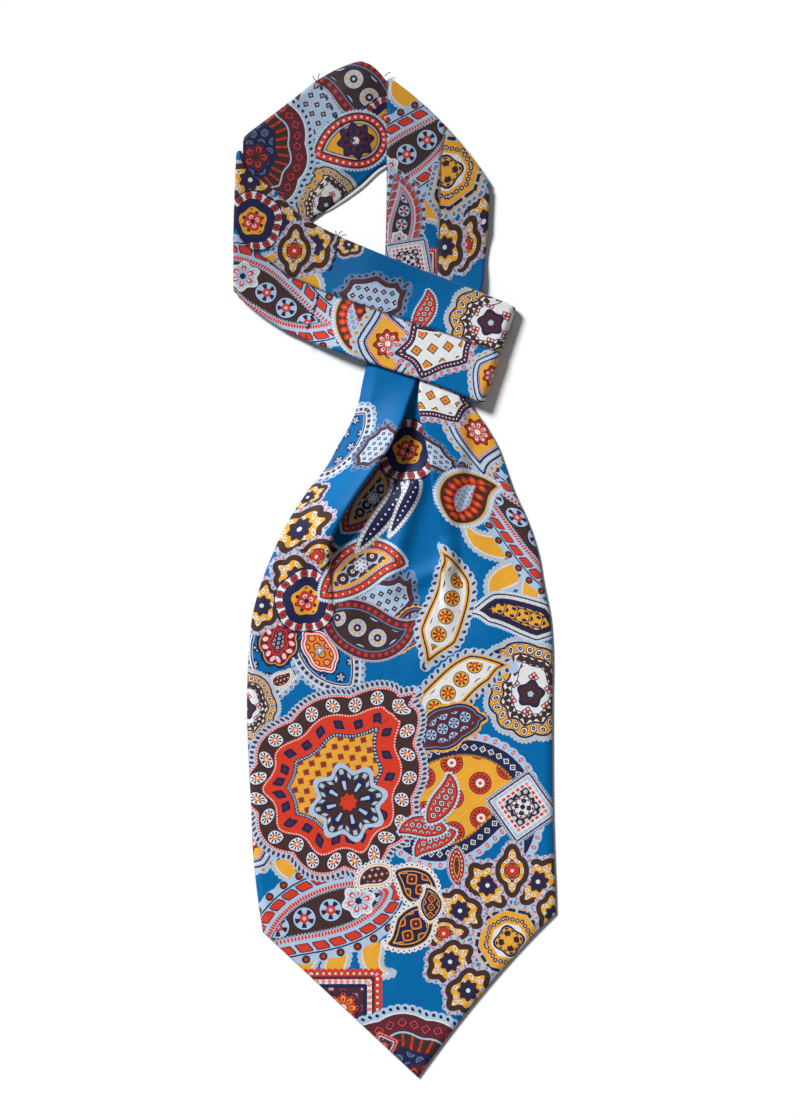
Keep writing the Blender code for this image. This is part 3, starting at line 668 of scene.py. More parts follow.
        "outer": (0.7, "red", "red", "red", "red", 1, 0.2, 2, 1.0), "rule": (0.7, "white"),
        "inner": (0.5, "red", "red", "red", "red", 1, 0.2, 2, 1.0), "edge": (0.2, "red"),
        "field": ("orange", 4.6, 1.4, 2, "red", "gold", "gold"),
        "heart": (0, 0, 2.2, 6, "navy", "white", "navy", "white"),
        "rays": (0, 0)},
    "red rosette": {
        "outline": (24, 18, 0.1, 0.2, 0, 7, 0.12, 0), "repeat": 4.8,
        "halo": (1.6, "navy", "navy", "navy", "navy", 1, 0.1, 2, 1.0), "line": (0.5, "gold"),
        "outer": (4.0, "maroon", "red", "red", "white", 1, 1.7, 2, 0.9), "rule": (0.6, "red"),
        "inner": (0.8, "maroon", "maroon", "maroon", "maroon", 1, 0.2, 2, 1.0), "edge": (0.3, "red"),
        "field": ("navy", 2.2, 0.7, 2, "white", "white", "navy"), "heart": None,
        "rays": (0, 0)},
    "beaded heart": {
        "outline": (48, 34, 0.0, 0.4, 0.1, 0, 0, 0), "repeat": 3.5,
        "halo": (2.8, "pale", "brown", "brown", "white", 1, 0.9, 2, 0.8), "line": (0.5, "white"),
        "outer": (2.8, "pale", "brown", "brown", "maroon", 1, 1.0, 3, 1.0), "rule": (0.5, "white"),
        "inner": (0.8, "maroon", "maroon", "maroon", "maroon", 1, 0.2, 2, 1.0), "edge": (0.4, "pale"),
        "field": ("azure", 9.0, 2.4, 2, "navy", "pale", "pale"), "heart": None,
        "rays": (0, 5)},
    "plume": {
        "outline": (50, 9, 0.5, 0.5, 0.5, 0, 0, 0), "repeat": 2.2,
        "halo": (1.0, "white", "navy", "navy", "navy", 1, 0.35, 2, 1.0), "line": (0.3, "white"),
        "outer": (1.0, "white", "navy", "navy", "navy", 1, 0.35, 2, 1.0), "rule": (0.55, "navy"),
        "inner": (0.6, "navy", "navy", "navy", "navy", 1, 0.2, 2, 1.0), "edge": (0.2, "navy"),
        "field": ("navy", 3.0, 0.5, 2, "white", "white", "white"), "heart": None},
    "s leaf": {
        "outline": (19, 11, 0.0, 0.5, 0.4, 0, 0, 0), "repeat": 2.0,
        "halo": (2.0, "white", "navy", "navy", "navy", 1, 0.4, 2, 1.0), "line": (0.5, "gold"),
        "outer": (0.8, "white", "white", "white", "white", 1, 0.2, 2, 1.0), "rule": (0.35, "brown"),
        "inner": (0.4, "brown", "brown", "brown", "brown", 1, 0.2, 2, 1.0), "edge": (0.1, "brown"),
        "field": ("brown", 3.0, 1.1, 1, "red", "red", "pale"), "heart": None,
        "rays": (0, 0)},
    "star leaf": {
        "outline": (38, 25, 0.1, 0.7, 0.1, 6, -0.3, 0), "repeat": 3.6,
        "halo": (3.0, "pale", "red", "red", "pale", 1, 1.2, 2, 0.8), "line": (0.75, "navy"),
        "outer": (1.6, "maroon", "white", "white", "white", 2, 0.35, 2, 1.0), "rule": (0.75, "navy"),
        "inner": (0.6, "white", "white", "white", "white", 1, 0.1, 2, 1.0), "edge": (0.2, "white"),
        "field": ("white", 7.6, 2.4, 1, "brown", "gold", "orange"), "heart": None,
        "rays": (0, 0)},
    "beaded blossom": {
        "outline": (38, 27, 0.1, 0.7, 0.15, 0, 0, 0), "repeat": 3.4,
        "halo": (1.6, "pale", "white", "white", "white", 2, 0.4, 2, 1.0), "line": (0.75, "navy"),
        "outer": (2.7, "red", "white", "white", "white", 1, 0.65, 2, 1.0), "rule": (0.85, "navy"),
        "inner": (0.9, "pale", "gold", "gold", "gold", 3, 0.3, 2, 1.0), "edge": (0.4, "navy"),
        "field": ("gold", 40.0, 0.1, 2, "gold", "gold", "gold"),
        "heart": (-3, 0, 8.2, 8, "navy", "maroon", "navy", "white")},
    "crossed field": {
        "outline": (70, 56, 0, 0.2, 0, 9, 0.06, 0), "repeat": 3.6,
        "halo": (3.4, "pale", "navy", "navy", "navy", 1, 0.7, 2, 1.0), "line": (0.75, "brown"),
        "outer": (1.2, "maroon", "maroon", "maroon", "maroon", 1, 0.2, 2, 1.0), "rule": (0.75, "brown"),
        "inner": (0.8, "pale", "pale", "pale", "pale", 1, 0.2, 2, 1.0), "edge": (0.2, "pale"),
        "field": ("pale", 6.4, 1.7, 1.0, "maroon", "maroon", "white"), "heart": None,
        "rays": (0, 4)},
}

# Where the motifs lie, the lowest first: kind, place in the frame of 800 x 1120 pixels, turn in
# degrees, size and side (-1 where it is mirrored)
BLADE_MOTIFS = [
    ("flame", 288, 868, 150, 1.0, 1), ("flame", 312, 848, 165, 1.1, 1), ("flame", 350, 858, 170, 1.0, 1),
    ("flame", 300, 968, 235, 0.9, -1), ("flame", 335, 968, 250, 1.0, -1), ("flame", 372, 955, 265, 1.0, -1),
    ("flame", 398, 905, 320, 0.9, 1),
    ("flame", 484, 512, 130, 1.0, 1), ("flame", 487, 545, 165, 1.05, 1), ("flame", 502, 578, 205, 1.05, -1),
    ("flame", 530, 590, 250, 1.0, -1), ("flame", 478, 480, 100, 0.9, 1),
    ("long paisley", 318, 913, 198, 1.0, 1),
    ("long paisley", 528, 528, 118, 0.86, -1),
    ("red square", 338, 1012, 45, 1.0, 1),
    ("maroon boteh", 412, 1068, 140, 0.9, 1),
    ("beaded heart", 276, 652, 255, 0.95, 1), ("beaded heart", 328, 655, 300, 0.92, 1),
    ("red rosette", 279, 641, 80, 1.0, 1), ("gold lace", 320, 650, 122, 1.0, 1),
    ("s leaf", 283, 680, 20, 0.62, 1),
    ("petal", 384, 603, 15, 0.95, 1), ("veined leaf", 408, 628, 60, 0.72, 1),
    ("cross flower", 262, 606, 80, 0.95, 1), ("cross flower", 308, 498, 40, 0.62, 1),
    ("cross flower", 300, 530, 25, 1.1, 1), ("red flower", 317, 556, 5, 1.05, 1),
    ("cross flower", 296, 577, 330, 1.0, 1),
    ("wheel leaf", 368, 632, 333, 1.0, 1),
    ("ring flower", 306, 601, 20, 1.0, 1),
    ("beaded leaf", 358, 568, 38, 1.0, -1),
    ("beaded heart", 334, 436, 66, 0.8, -1), ("beaded leaf", 370, 500, 48, 0.85, 1),
    ("plume", 388, 512, 52, 1.0, 1), ("plume", 410, 500, 62, 0.85, 1),
    ("ring flower", 408, 450, 20, 0.98, 1),
    ("petal", 432, 455, 300, 0.62, 1), ("petal", 378, 448, 60, 0.6, 1),
    ("curl boteh", 532, 686, 80, 1.0, 1),
    ("navy leaf", 516, 613, 160, 0.98, 1),
    ("white leaf", 448, 608, 68, 1.0, 1), ("white leaf", 455, 686, 46, 1.0, -1),
    ("gold leaf", 466, 790, 28, 0.98, 1),
    ("veined leaf", 448, 726, 28, 1.0, 1),
    ("curl boteh", 238, 702, 80, 0.75, 1), ("gem leaf", 247, 778, 10, 0.8, 1),
    ("gem leaf", 250, 838, 25, 1.05, 1),
    ("great boteh", 344, 770, 58, 0.98, 1),
    ("striped leaf", 456, 868, 270, 0.95, 1),
    ("seed leaf", 432, 840, 200, 0.9, 1), ("seed leaf", 423, 826, 172, 0.9, 1),
    ("seed leaf", 444, 800, 55, 1.0, 1),
    ("square", 522, 806, 80, 0.95, 1),
    ("octagon", 509, 941, 10, 1.0, 1),
    ("cross flower", 487, 886, 128, 1.0, 1), ("cross flower", 537, 882, 55, 1.0, 1),
    ("red flower", 513, 870, 90, 1.0, 1), ("cross flower", 558, 918, 100, 0.9, 1),
    ("cross flower", 460, 911, 145, 0.98, 1), ("red flower", 443, 934, 5, 0.95, 1),
    ("cross flower", 451, 961, 33, 0.98, 1), ("cross flower", 468, 990, 42, 1.0, 1),
    ("window leaf", 416, 884, 130, 0.95, 1), ("window leaf", 412, 930, 235, 1.0, -1),
    ("window leaf", 432, 903, 85, 0.6, 1),
    ("s leaf", 372, 876, 190, 1.0, 1),
    ("gem leaf", 476, 438, 245, 1.0, 1), ("flame leaf", 464, 495, 40, 1.0, 1),
    ("star leaf", 438, 398, 340, 0.95, 1), ("red square", 385, 1046, 20, 0.3, 1),
]
TOP_MOTIFS = [
    ("crossed field", 338, 112, 60, 0.78, 1), ("curl boteh", 330, 200, 60, 0.7, 1),
    ("wheel leaf", 362, 88, 130, 1.05, 1), ("ring flower", 388, 122, 20, 0.8, 1),
    ("beaded blossom", 350, 142, 190, 1.0, 1), ("maroon boteh", 260, 148, 70, 0.8, 1),
]
RISER_MOTIFS = [
    ("flame", 402, 98, 150, 0.9, 1), ("flame", 412, 240, 320, 1.0, 1), ("flame", 428, 210, 350, 1.0, 1),
    ("long paisley", 416, 148, 35, 0.9, 1), ("long paisley", 402, 218, 80, 0.5, 1),
    ("cross flower", 484, 222, 100, 0.95, 1), ("red flower", 466, 246, 80, 0.9, 1),
    ("cross flower", 444, 248, 95, 0.95, 1), ("red square", 423, 262, 45, 0.36, 1),
    ("square", 408, 262, 55, 0.75, 1), ("octagon", 446, 172, 10, 1.0, 1),
]
CROSS_MOTIFS = [
    ("flame", 252, 262, 60, 1.0, 1), ("flame", 276, 262, 30, 1.0, 1), ("flame", 302, 278, 350, 1.05, 1),
    ("flame", 322, 300, 320, 1.05, 1), ("flame", 326, 326, 290, 1.0, 1), ("flame", 250, 288, 110, 1.0, 1),
    ("long paisley", 276, 300, 322, 0.9, 1), ("curl boteh", 498, 320, 25, 0.95, 1),
    ("cross flower", 250, 180, 20, 1.05, 1), ("cross flower", 280, 224, 50, 1.0, 1),
    ("ring flower", 252, 222, 20, 0.95, 1), ("cross flower", 313, 246, 70, 1.05, 1),
    ("red flower", 295, 252, 85, 1.0, 1), ("cross flower", 349, 246, 10, 0.6, 1),
    ("petal", 373, 300, 350, 0.9, 1), ("flame leaf", 352, 320, 100, 0.85, 1),
    ("gem leaf", 387, 338, 95, 1.05, 1), ("star leaf", 441, 348, 8, 1.0, 1),
    ("seed leaf", 425, 312, 60, 0.8, 1), ("gem leaf", 498, 374, 60, 0.8, 1),
]


# An outline's points, the mean of its lobes' waves, and how far behind its middle its curl starts
OUTLINE_STEPS = 240
LOBE_MIDDLE = 0.6
CURL_START = 0.2

# The outline's points each way over which its bend is measured, the least and greatest gather, and
# how many points are measured at once
BEND_STEPS = 6
LEAST_GATHER, GREATEST_GATHER = 0.25, 1.6
POINTS_AT_ONCE = 8000


def outline_points(length, width, tail, tip, curl, lobes, depth, sides):
    """A motif's outline, its tip at +x: an ellipse drawn in towards tail and tip, lobed and curled.

    The half width is sin(t) times cos(t/2) to the tail's power times sin(t/2) to the tip's. Lobes are
    round, or pointed where their depth is below 0. A straight-sided outline has a polygon's radius
    instead. The curl turns each point round the middle by an angle that grows with the square of its
    distance along the length.
    """
    turn = np.linspace(0, 2 * math.pi, OUTLINE_STEPS, endpoint=False)
    if sides:
        wedge = 2 * math.pi / sides
        reach = math.cos(wedge / 2) / np.cos(turn % wedge - wedge / 2)
        x, y = reach * np.cos(turn), reach * np.sin(turn)
    else:
        half = np.sin(turn) * np.abs(np.cos(turn / 2)) ** tail * np.abs(np.sin(turn / 2)) ** tip
        x, y = np.cos(turn), half / np.abs(half).max()
    if lobes:
        wave = np.cos(lobes * turn / 2) if depth > 0 else np.sin(lobes * turn / 2)
        swell = 1 + depth * (np.abs(wave) - LOBE_MIDDLE)
        x, y = x * swell, y * swell
    x, y = x * length / 2, y * width / 2
    bend = curl * np.clip(x / (length / 2) + CURL_START, 0, None) ** 2
    return np.stack([x * np.cos(bend) - y * np.sin(bend), x * np.sin(bend) + y * np.cos(bend)], axis=-1)


def beside_outline(outline, points):
    """For each point: its depth inside the outline, how far round the nearest place is, and the gather.

    The gather is how long the curve at that depth is beside the outline's own length there: 1 less
    the depth times the outline's bend.
    """
    run = np.roll(outline, -1, axis=0) - outline
    lengths = np.linalg.norm(run, axis=1)
    passed = np.concatenate([[0], np.cumsum(lengths)])
    heading = np.unwrap(np.arctan2(run[:, 1], run[:, 0]))
    headings = np.concatenate([heading[-BEND_STEPS:] - 2 * math.pi, heading,
                               heading[:BEND_STEPS] + 2 * math.pi])
    both = 2 * BEND_STEPS
    bend = (headings[both:] - headings[:-both]) / (both * passed[-1] / len(run))
    depth, way, gather = np.empty((3, len(points)))
    for first in range(0, len(points), POINTS_AT_ONCE):
        these = slice(first, first + POINTS_AT_ONCE)
        part = points[these, None] - outline
        share = np.clip((part * run).sum(axis=-1) / lengths**2, 0, 1)
        gap = np.linalg.norm(part - run * share[..., None], axis=-1)
        nearest = gap.argmin(axis=1)
        each = np.arange(len(part))
        above = (part[..., 1] < 0) != (part[..., 1] < run[:, 1])
        steep = np.where(run[:, 1] == 0, 1e-9, run[:, 1])
        left = part[..., 0] < run[:, 0] * part[..., 1] / steep
        inside = (above & left).sum(axis=1) % 2
        signed = gap[each, nearest] * (2 * inside - 1)
        around = passed[nearest] + share[each, nearest] * lengths[nearest]
        depth[these] = signed
        way[these] = around / passed[-1]
        gather[these] = np.clip(1 - signed * bend[nearest], LEAST_GATHER, GREATEST_GATHER)
    return depth, way, gather, passed[-1]


# What a face corner holds where no motif lies, and the depth that stands for outside
OUTSIDE = -9.0
NO_MOTIF = (OUTSIDE, 0.0, 0.0, 900.0, 900.0, 1.0)

# How much nearer a place counts for each millimetre of height, and the space beyond a halo
HEIGHT_PULL = 0.25
SPACE_BEYOND = 2


def lay_print(piece, grid, cloth, motifs):
    """Gives the piece's faces their uppermost motif and the one under it.

    Each face corner holds the motif's depth from its halo's edge, the way round it in repeats, its
    kind, its own x and y, and the gather. The way is found on the outline without its lobes. A motif
    is placed on the cloth at the highest grid point near its place in the frame.
    """
    points = cloth.reshape(-1, 2)
    laid = grid.reshape(-1, 3)
    mesh = piece.data
    corners = np.empty(len(mesh.loops), dtype=int)
    mesh.loops.foreach_get("vertex_index", corners)
    faces = corners[:4 * (grid.shape[0] - 1) * (grid.shape[1] - 1)].reshape(-1, 4)
    upper = np.tile(NO_MOTIF, (len(faces), 4, 1))
    lower = upper.copy()
    names = list(MOTIFS)
    for kind, across, down, turn, size, side in motifs:
        motif = MOTIFS[kind]
        place = np.array([across - PHOTO_MIDDLE[0], PHOTO_MIDDLE[1] - down]) * PIXEL
        reach = np.hypot(*(laid[:, :2] - place).T) - HEIGHT_PULL * laid[:, 2]
        centre = points[reach.argmin()]
        angle = math.radians(turn)
        aside = points - centre
        x = (aside[:, 0] * math.cos(angle) + aside[:, 1] * math.sin(angle)) / size
        y = (aside[:, 1] * math.cos(angle) - aside[:, 0] * math.sin(angle)) / size * side
        length, width, tail, tip, curl, lobes, lobe_depth, sides = motif["outline"]
        outline = outline_points(length, width, tail, tip, curl, 0, 0, sides)
        halo = motif["halo"][0]
        widest = np.hypot(*outline.T).max() * (1 + abs(lobe_depth))
        near = np.hypot(x, y) < widest + halo + SPACE_BEYOND
        if not near.any():
            continue
        beside = np.stack([x[near], y[near]], axis=-1)
        found, way, gathered, round_length = beside_outline(outline, beside)
        if lobes:
            found = beside_outline(outline_points(*motif["outline"]), beside)[0]
        depth = np.full(len(points), OUTSIDE)
        share = np.zeros(len(points))
        gather = np.ones(len(points))
        depth[near], share[near], gather[near] = found + halo, way, gathered
        hit = depth[faces].max(axis=1) > 0
        repeats = 2 * round(round_length / motif["repeat"] / 2)
        way = share[faces[hit]]
        way = way[:, :1] + (way - way[:, :1] + 0.5) % 1 - 0.5
        fields = [depth[faces[hit]], way * repeats, np.full(way.shape, names.index(kind)),
                  x[faces[hit]], y[faces[hit]], gather[faces[hit]]]
        lower[hit] = upper[hit]
        upper[hit] = np.stack(fields, axis=-1)
    for name, fields in (("upper", upper), ("lower", lower)):
        every_corner = np.tile(NO_MOTIF, (len(corners), 1))
        every_corner[:4 * len(faces)] = fields.reshape(-1, 6)
        for part, columns in (("motif", (0, 1, 2)), ("place", (3, 4, 5))):
            attribute = mesh.attributes.new(f"{name}_{part}", "FLOAT_VECTOR", "CORNER")
            attribute.data.foreach_set("vector", every_corner[:, columns].ravel())


def screen_colour(name):
    """A print colour's linear values."""
    share = np.array(INKS[name]) / 255
    return (*np.where(share < 0.04045, share / 12.92, ((share + 0.055) / 1.055) ** 2.4), 1.0)


class Dye:
    """Adds nodes to one material; each call returns its output socket."""

    def __init__(self, tree):
        self.tree = tree

    def node(self, kind, inputs, **settings):
        """A node with its settings and inputs, which are numbers or sockets."""
        made = self.tree.nodes.new(kind)
        for name, value in settings.items():
            setattr(made, name, value)
        for name, value in inputs.items():
            if isinstance(value, bpy.types.NodeSocket):
                self.tree.links.new(value, made.inputs[name])
            else:
                made.inputs[name].default_value = value
        return made

    def math(self, operation, *values):
        """One sum on one to three values."""
        return self.node("ShaderNodeMath", dict(enumerate(values)), operation=operation).outputs[0]

    def blend(self, share, below, above):
        """The colour below where the share is 0, and the one above where it is 1."""
        made = self.node("ShaderNodeMix", {0: share, 6: below, 7: above}, data_type="RGBA")
        return made.outputs[2]

    def place(self):
        """The piece's own coordinates."""
        return self.node("ShaderNodeTexCoord", {}).outputs["Object"]

    def read(self, name):
        """A vector that the mesh's corners carry."""
        return self.node("ShaderNodeAttribute", {}, attribute_name=name).outputs["Vector"]

    def choose(self, share, below, above):
        """The vector below where the share is 0, and the one above where it is 1, in its parts."""
        mixed = self.node("ShaderNodeMix", {0: share, 4: below, 5: above}, data_type="VECTOR").outputs[1]
        return self.node("ShaderNodeSeparateXYZ", {0: mixed}).outputs

    def chart(self, kind, rows):
        """A colour for each kind of motif, from a ramp with one step for each."""
        made = self.node("ShaderNodeValToRGB", {0: kind})
        steps = made.color_ramp
        steps.interpolation = "CONSTANT"
        for index, row in enumerate(rows):
            if index < 2:
                step = steps.elements[index]
                step.position = index / CHART_STEPS
            else:
                step = steps.elements.new(index / CHART_STEPS)
            step.color = row
        return made

    def colours(self, kind, names):
        """A print colour for each kind of motif."""
        return self.chart(kind, [screen_colour(name) for name in names]).outputs[0]

    def sizes(self, kind, rows):
        """Up to four numbers for each kind of motif, as separate sockets; all are under the most."""
        padded = [tuple(value / MOST_SIZE for value in (*row, 0, 0, 0, 0)[:4]) for row in rows]
        made = self.chart(kind, padded)
        parts = self.node("ShaderNodeSeparateXYZ", {0: made.outputs[0]}).outputs
        return [self.math("MULTIPLY", part, MOST_SIZE) for part in (*parts, made.outputs[1])]

    def row_of(self, kind):
        """Where a kind's number stands along a chart: the middle of its step."""
        return self.math("DIVIDE", self.math("ADD", kind, 0.5), CHART_STEPS)

    def within_repeat(self, way, count):
        """How far a way round is from the middle of its repeat, as a share of the repeat."""
        return self.math("SUBTRACT", self.math("FRACT", self.math("MULTIPLY", way, count)), 0.5)

    def over(self, first, second):
        """1 where the first value is over the second."""
        return self.math("GREATER_THAN", first, second)

    def length_of(self, x, y, power):
        """The size of x and y by a power: 1 gives diamonds, 2 circles and 6 squares."""
        sides = [self.math("POWER", self.math("ABSOLUTE", value), power) for value in (x, y)]
        return self.math("POWER", self.math("ADD", *sides), self.math("DIVIDE", 1, power))

    def figure(self, colour, x, y, radius, power, shades, rays):
        """A figure round x = y = 0: its disc, a ring of rays, an eye and a dot, over the colour."""
        reach = self.length_of(x, y, power)
        size = self.math("DIVIDE", reach, radius)
        eye = SMALL_EYE
        if rays is not None:
            outlined = self.over(self.math("ADD", radius, OUTLINE), reach)
            outlined = self.math("MULTIPLY", self.over(radius, LEAST_OUTLINED), outlined)
            colour = self.blend(outlined, colour, screen_colour("navy"))
        colour = self.blend(self.over(1, size), colour, shades[0])
        if rays is not None:
            angle = self.math("MULTIPLY", self.math("ARCTAN2", y, x), rays)
            ring = self.over(RAY_RING, size)
            ring = self.math("MULTIPLY", ring, self.over(self.math("COSINE", angle), RAY_CUT))
            colour = self.blend(ring, colour, shades[1])
            smaller = self.math("MULTIPLY", self.over(rays, 0.5), WIDE_EYE - SMALL_EYE)
            eye = self.math("SUBTRACT", WIDE_EYE, smaller)
        colour = self.blend(self.over(eye, size), colour, shades[2])
        return self.blend(self.over(FIGURE_DOT, size), colour, shades[0])

    def scallop(self, way, kind):
        """How far the halo's edge is drawn in between its figures, in millimetres."""
        count = self.sizes(kind, [[motif["halo"][5]] for motif in MOTIFS.values()])[0]
        along = self.within_repeat(way, count)
        return self.math("MULTIPLY", self.math("MULTIPLY", along, along), SCALLOP)


# A chart's steps, one for each kind of motif, and the most that a size in it may be
CHART_STEPS = 31
MOST_SIZE = 64

# How far the halo is drawn in at most, four times over, how far an ink's edge wanders and how finely,
# and the width of a figure's outline, with the radius from which a figure has one
SCALLOP = 3.4
INK_BLEED = 0.45
BLEED_SCALE = 1400.0
OUTLINE = 0.45
LEAST_OUTLINED = 1.2

# A figure's parts as shares of its radius: its ring of rays, its eye, which is wide where a figure
# that may have rays has none, and its dot; and the cosine over which a ray shows
RAY_RING = 0.86
SMALL_EYE, WIDE_EYE = 0.42, 0.66
FIGURE_DOT = 0.17
RAY_CUT = 0.1

# The share of a repeat each way that a bead on a line takes, and the line's share that it covers
BEAD_REACH = 0.25
BEAD_SHARE = 0.28

# A heart's parts as shares of its radius, and the cosines over which a petal and a vein show. Its
# place is moved so that a chart can hold it
HEART_SHIFT = 30
HEART_WAVE = 0.12
HEART_RIM = 0.86
HEART_BEADS, HEART_BEAD_REACH, BEADS_IN_LOBE = 0.77, 0.06, 3
PETAL_REACH, PETAL_CUT = 0.66, -0.1
VEIN_REACH, VEIN_CUT = 0.54, 0.75
HEART_RING, HEART_CORE = 0.32, 0.22
NO_HEART = (0, 0, 0.01, 1, "navy", "navy", "navy", "navy")

# The bands from a motif's edge in
BANDS = ("halo", "line", "outer", "rule", "inner", "edge")


def silk_print(tree):
    """The print's colour from the fields on the mesh.

    The depth from the halo's edge chooses halo, line, outer band, rule, inner band, edge line or
    field; figures repeat along the three bands, and on the field on a brick grid; a heart may lie
    over all of them. Every width, size and colour is read by the motif's kind.
    """
    dye = Dye(tree)
    kinds = list(MOTIFS.values())
    upper = dye.node("ShaderNodeSeparateXYZ", {0: dye.read("upper_motif")}).outputs
    shown = dye.over(upper[0], dye.scallop(upper[1], dye.row_of(upper[2])))
    depth, way, kind = dye.choose(shown, dye.read("lower_motif"), dye.read("upper_motif"))
    x, y, gather = dye.choose(shown, dye.read("lower_place"), dye.read("upper_place"))
    kind = dye.row_of(kind)
    grain = {"Scale": BLEED_SCALE, "Detail": 2.0, "Vector": dye.place()}
    bleed = dye.math("SUBTRACT", dye.node("ShaderNodeTexNoise", grain).outputs[0], 0.5)
    depth = dye.math("ADD", depth, dye.math("MULTIPLY", bleed, INK_BLEED))
    starts = np.cumsum([[motif[name][0] for name in BANDS] for motif in kinds], axis=1)
    edges = [dye.scallop(way, kind), *dye.sizes(kind, starts[:, :4].tolist()),
             *dye.sizes(kind, starts[:, 4:].tolist())[:2]]
    repeat, rays, field_rays, _ = dye.sizes(kind, [(m["repeat"], *m.get("rays", (9, 11))) for m in kinds])
    slants = dye.sizes(kind, [m.get("slants", (0, 0)) for m in kinds])
    lean = {"halo": slants[0], "outer": slants[1], "inner": 0}
    repeat = dye.math("MULTIPLY", repeat, gather)
    colour = screen_colour("azure")
    for name, start, end in zip(BANDS, edges[:-1], edges[1:]):
        shade = dye.colours(kind, [motif[name][1] for motif in kinds])
        colour = dye.blend(dye.over(depth, start), colour, shade)
        beyond = dye.math("SUBTRACT", depth, dye.math("MULTIPLY", dye.math("ADD", start, end), 0.5))
        if name in lean:
            band_rays = rays if name == "outer" else None
            figures = band_figures(dye, colour, kind, name, way, repeat, beyond, lean[name], band_rays)
        else:
            figures = line_beads(dye, colour, kind, name, way, beyond, dye.math("SUBTRACT", end, start))
        colour = dye.blend(dye.over(depth, start), colour, figures)
    within = dye.over(depth, edges[-1])
    colour = dye.blend(within, colour, field_figures(dye, kind, x, y, field_rays))
    return heart(dye, colour, kind, x, y)


def band_figures(dye, colour, kind, name, way, repeat, beyond, lean, rays):
    """Figures along a band, each round the middle of its part of a repeat."""
    kinds = list(MOTIFS.values())
    count, radius, power, stretch = dye.sizes(kind, [motif[name][5:9] for motif in kinds])
    pitch = dye.math("DIVIDE", repeat, count)
    along = dye.math("DIVIDE", dye.math("MULTIPLY", dye.within_repeat(way, count), pitch), stretch)
    along = dye.math("ADD", along, dye.math("MULTIPLY", beyond, lean))
    shades = [dye.colours(kind, [motif[name][place] for motif in kinds]) for place in (2, 3, 4)]
    return dye.figure(colour, along, beyond, radius, power, shades, rays)


def line_beads(dye, colour, kind, name, way, beyond, width):
    """Beads along a line, where its kind has any: bars round the middle of each repeat."""
    lines = [motif[name] for motif in MOTIFS.values()]
    shade = dye.colours(kind, [(*line, line[1])[2] for line in lines])
    count = dye.sizes(kind, [((*line, 0, 0)[3],) for line in lines])[0]
    along = dye.math("ABSOLUTE", dye.within_repeat(way, count))
    bead = dye.math("MULTIPLY", dye.over(BEAD_REACH, along), dye.over(count, 0.5))
    inside = dye.over(dye.math("MULTIPLY", width, BEAD_SHARE), dye.math("ABSOLUTE", beyond))
    return dye.blend(dye.math("MULTIPLY", bead, inside), colour, shade)


def field_figures(dye, kind, x, y, rays):
    """The field's ground with its figures, whose rows are shifted by half a space, one by one."""
    fields = [motif["field"] for motif in MOTIFS.values()]
    ground = dye.colours(kind, [field[0] for field in fields])
    spacing, radius, power, _ = dye.sizes(kind, [field[1:4] for field in fields])
    row = dye.math("ADD", dye.math("DIVIDE", y, spacing), 0.5)
    shift = dye.math("MULTIPLY", dye.math("FLOORED_MODULO", dye.math("FLOOR", row), 2), 0.5)
    cell = dye.math("ADD", dye.math("DIVIDE", x, spacing), shift)
    places = [dye.math("MULTIPLY", dye.within_repeat(value, 1), spacing) for value in (cell, row)]
    shades = [dye.colours(kind, [field[place] for field in fields]) for place in (4, 5, 6)]
    return dye.figure(ground, *places, radius, power, shades, rays)


def heart(dye, colour, kind, x, y):
    """A motif's heart over the colour: a lobed disc with a rim, beads, petals, veins, ring and core."""
    hearts = [motif["heart"] or NO_HEART for motif in MOTIFS.values()]
    moved = [(row[0] + HEART_SHIFT, row[1] + HEART_SHIFT, row[2], row[3]) for row in hearts]
    place_x, place_y, radius, lobes = dye.sizes(kind, moved)
    x = dye.math("ADD", dye.math("SUBTRACT", x, place_x), HEART_SHIFT)
    y = dye.math("ADD", dye.math("SUBTRACT", y, place_y), HEART_SHIFT)
    angle = dye.math("ARCTAN2", y, x)
    wave = dye.math("COSINE", dye.math("MULTIPLY", angle, lobes))
    swell = dye.math("ADD", 1, dye.math("MULTIPLY", wave, HEART_WAVE))
    size = dye.math("DIVIDE", dye.length_of(x, y, 2), dye.math("MULTIPLY", radius, swell))
    rim, ring, petal, core = [dye.colours(kind, [row[place] for row in hearts]) for place in (4, 5, 6, 7)]
    colour = dye.blend(dye.over(1, size), colour, rim)
    colour = dye.blend(dye.over(HEART_RIM, size), colour, ring)
    off = dye.math("ABSOLUTE", dye.math("SUBTRACT", size, HEART_BEADS))
    beads = dye.math("COSINE", dye.math("MULTIPLY", angle, dye.math("MULTIPLY", lobes, BEADS_IN_LOBE)))
    beads = dye.math("MULTIPLY", dye.over(HEART_BEAD_REACH, off), dye.over(beads, 0.0))
    colour = dye.blend(beads, colour, rim)
    petals = dye.math("MULTIPLY", dye.over(PETAL_REACH, size), dye.over(wave, PETAL_CUT))
    colour = dye.blend(petals, colour, petal)
    veins = dye.math("MULTIPLY", dye.over(VEIN_REACH, size), dye.over(wave, VEIN_CUT))
    colour = dye.blend(veins, colour, rim)
    colour = dye.blend(dye.over(HEART_RING, size), colour, ring)
    return dye.blend(dye.over(HEART_CORE, size), colour, core)


# The twill's direction and scale, the threads' scale and stretch, and the patches' scale
TWILL_ANGLE = math.radians(62)
TWILL_SCALE = 900.0
THREAD_SCALE = 1800.0
THREAD_STRETCH = (1.0, 0.18, 1.0)
PATCH_SCALE = 26.0

# How much the dye's depth has of the threads, the patches, the twill and an even tone, and the relief
# of the threads and the twill
THREAD_TONE, PATCH_TONE, TWILL_TONE, EVEN_TONE = 0.46, 0.16, 0.06, 0.66
THREAD_RELIEF, TWILL_RELIEF = 0.6, 0.5

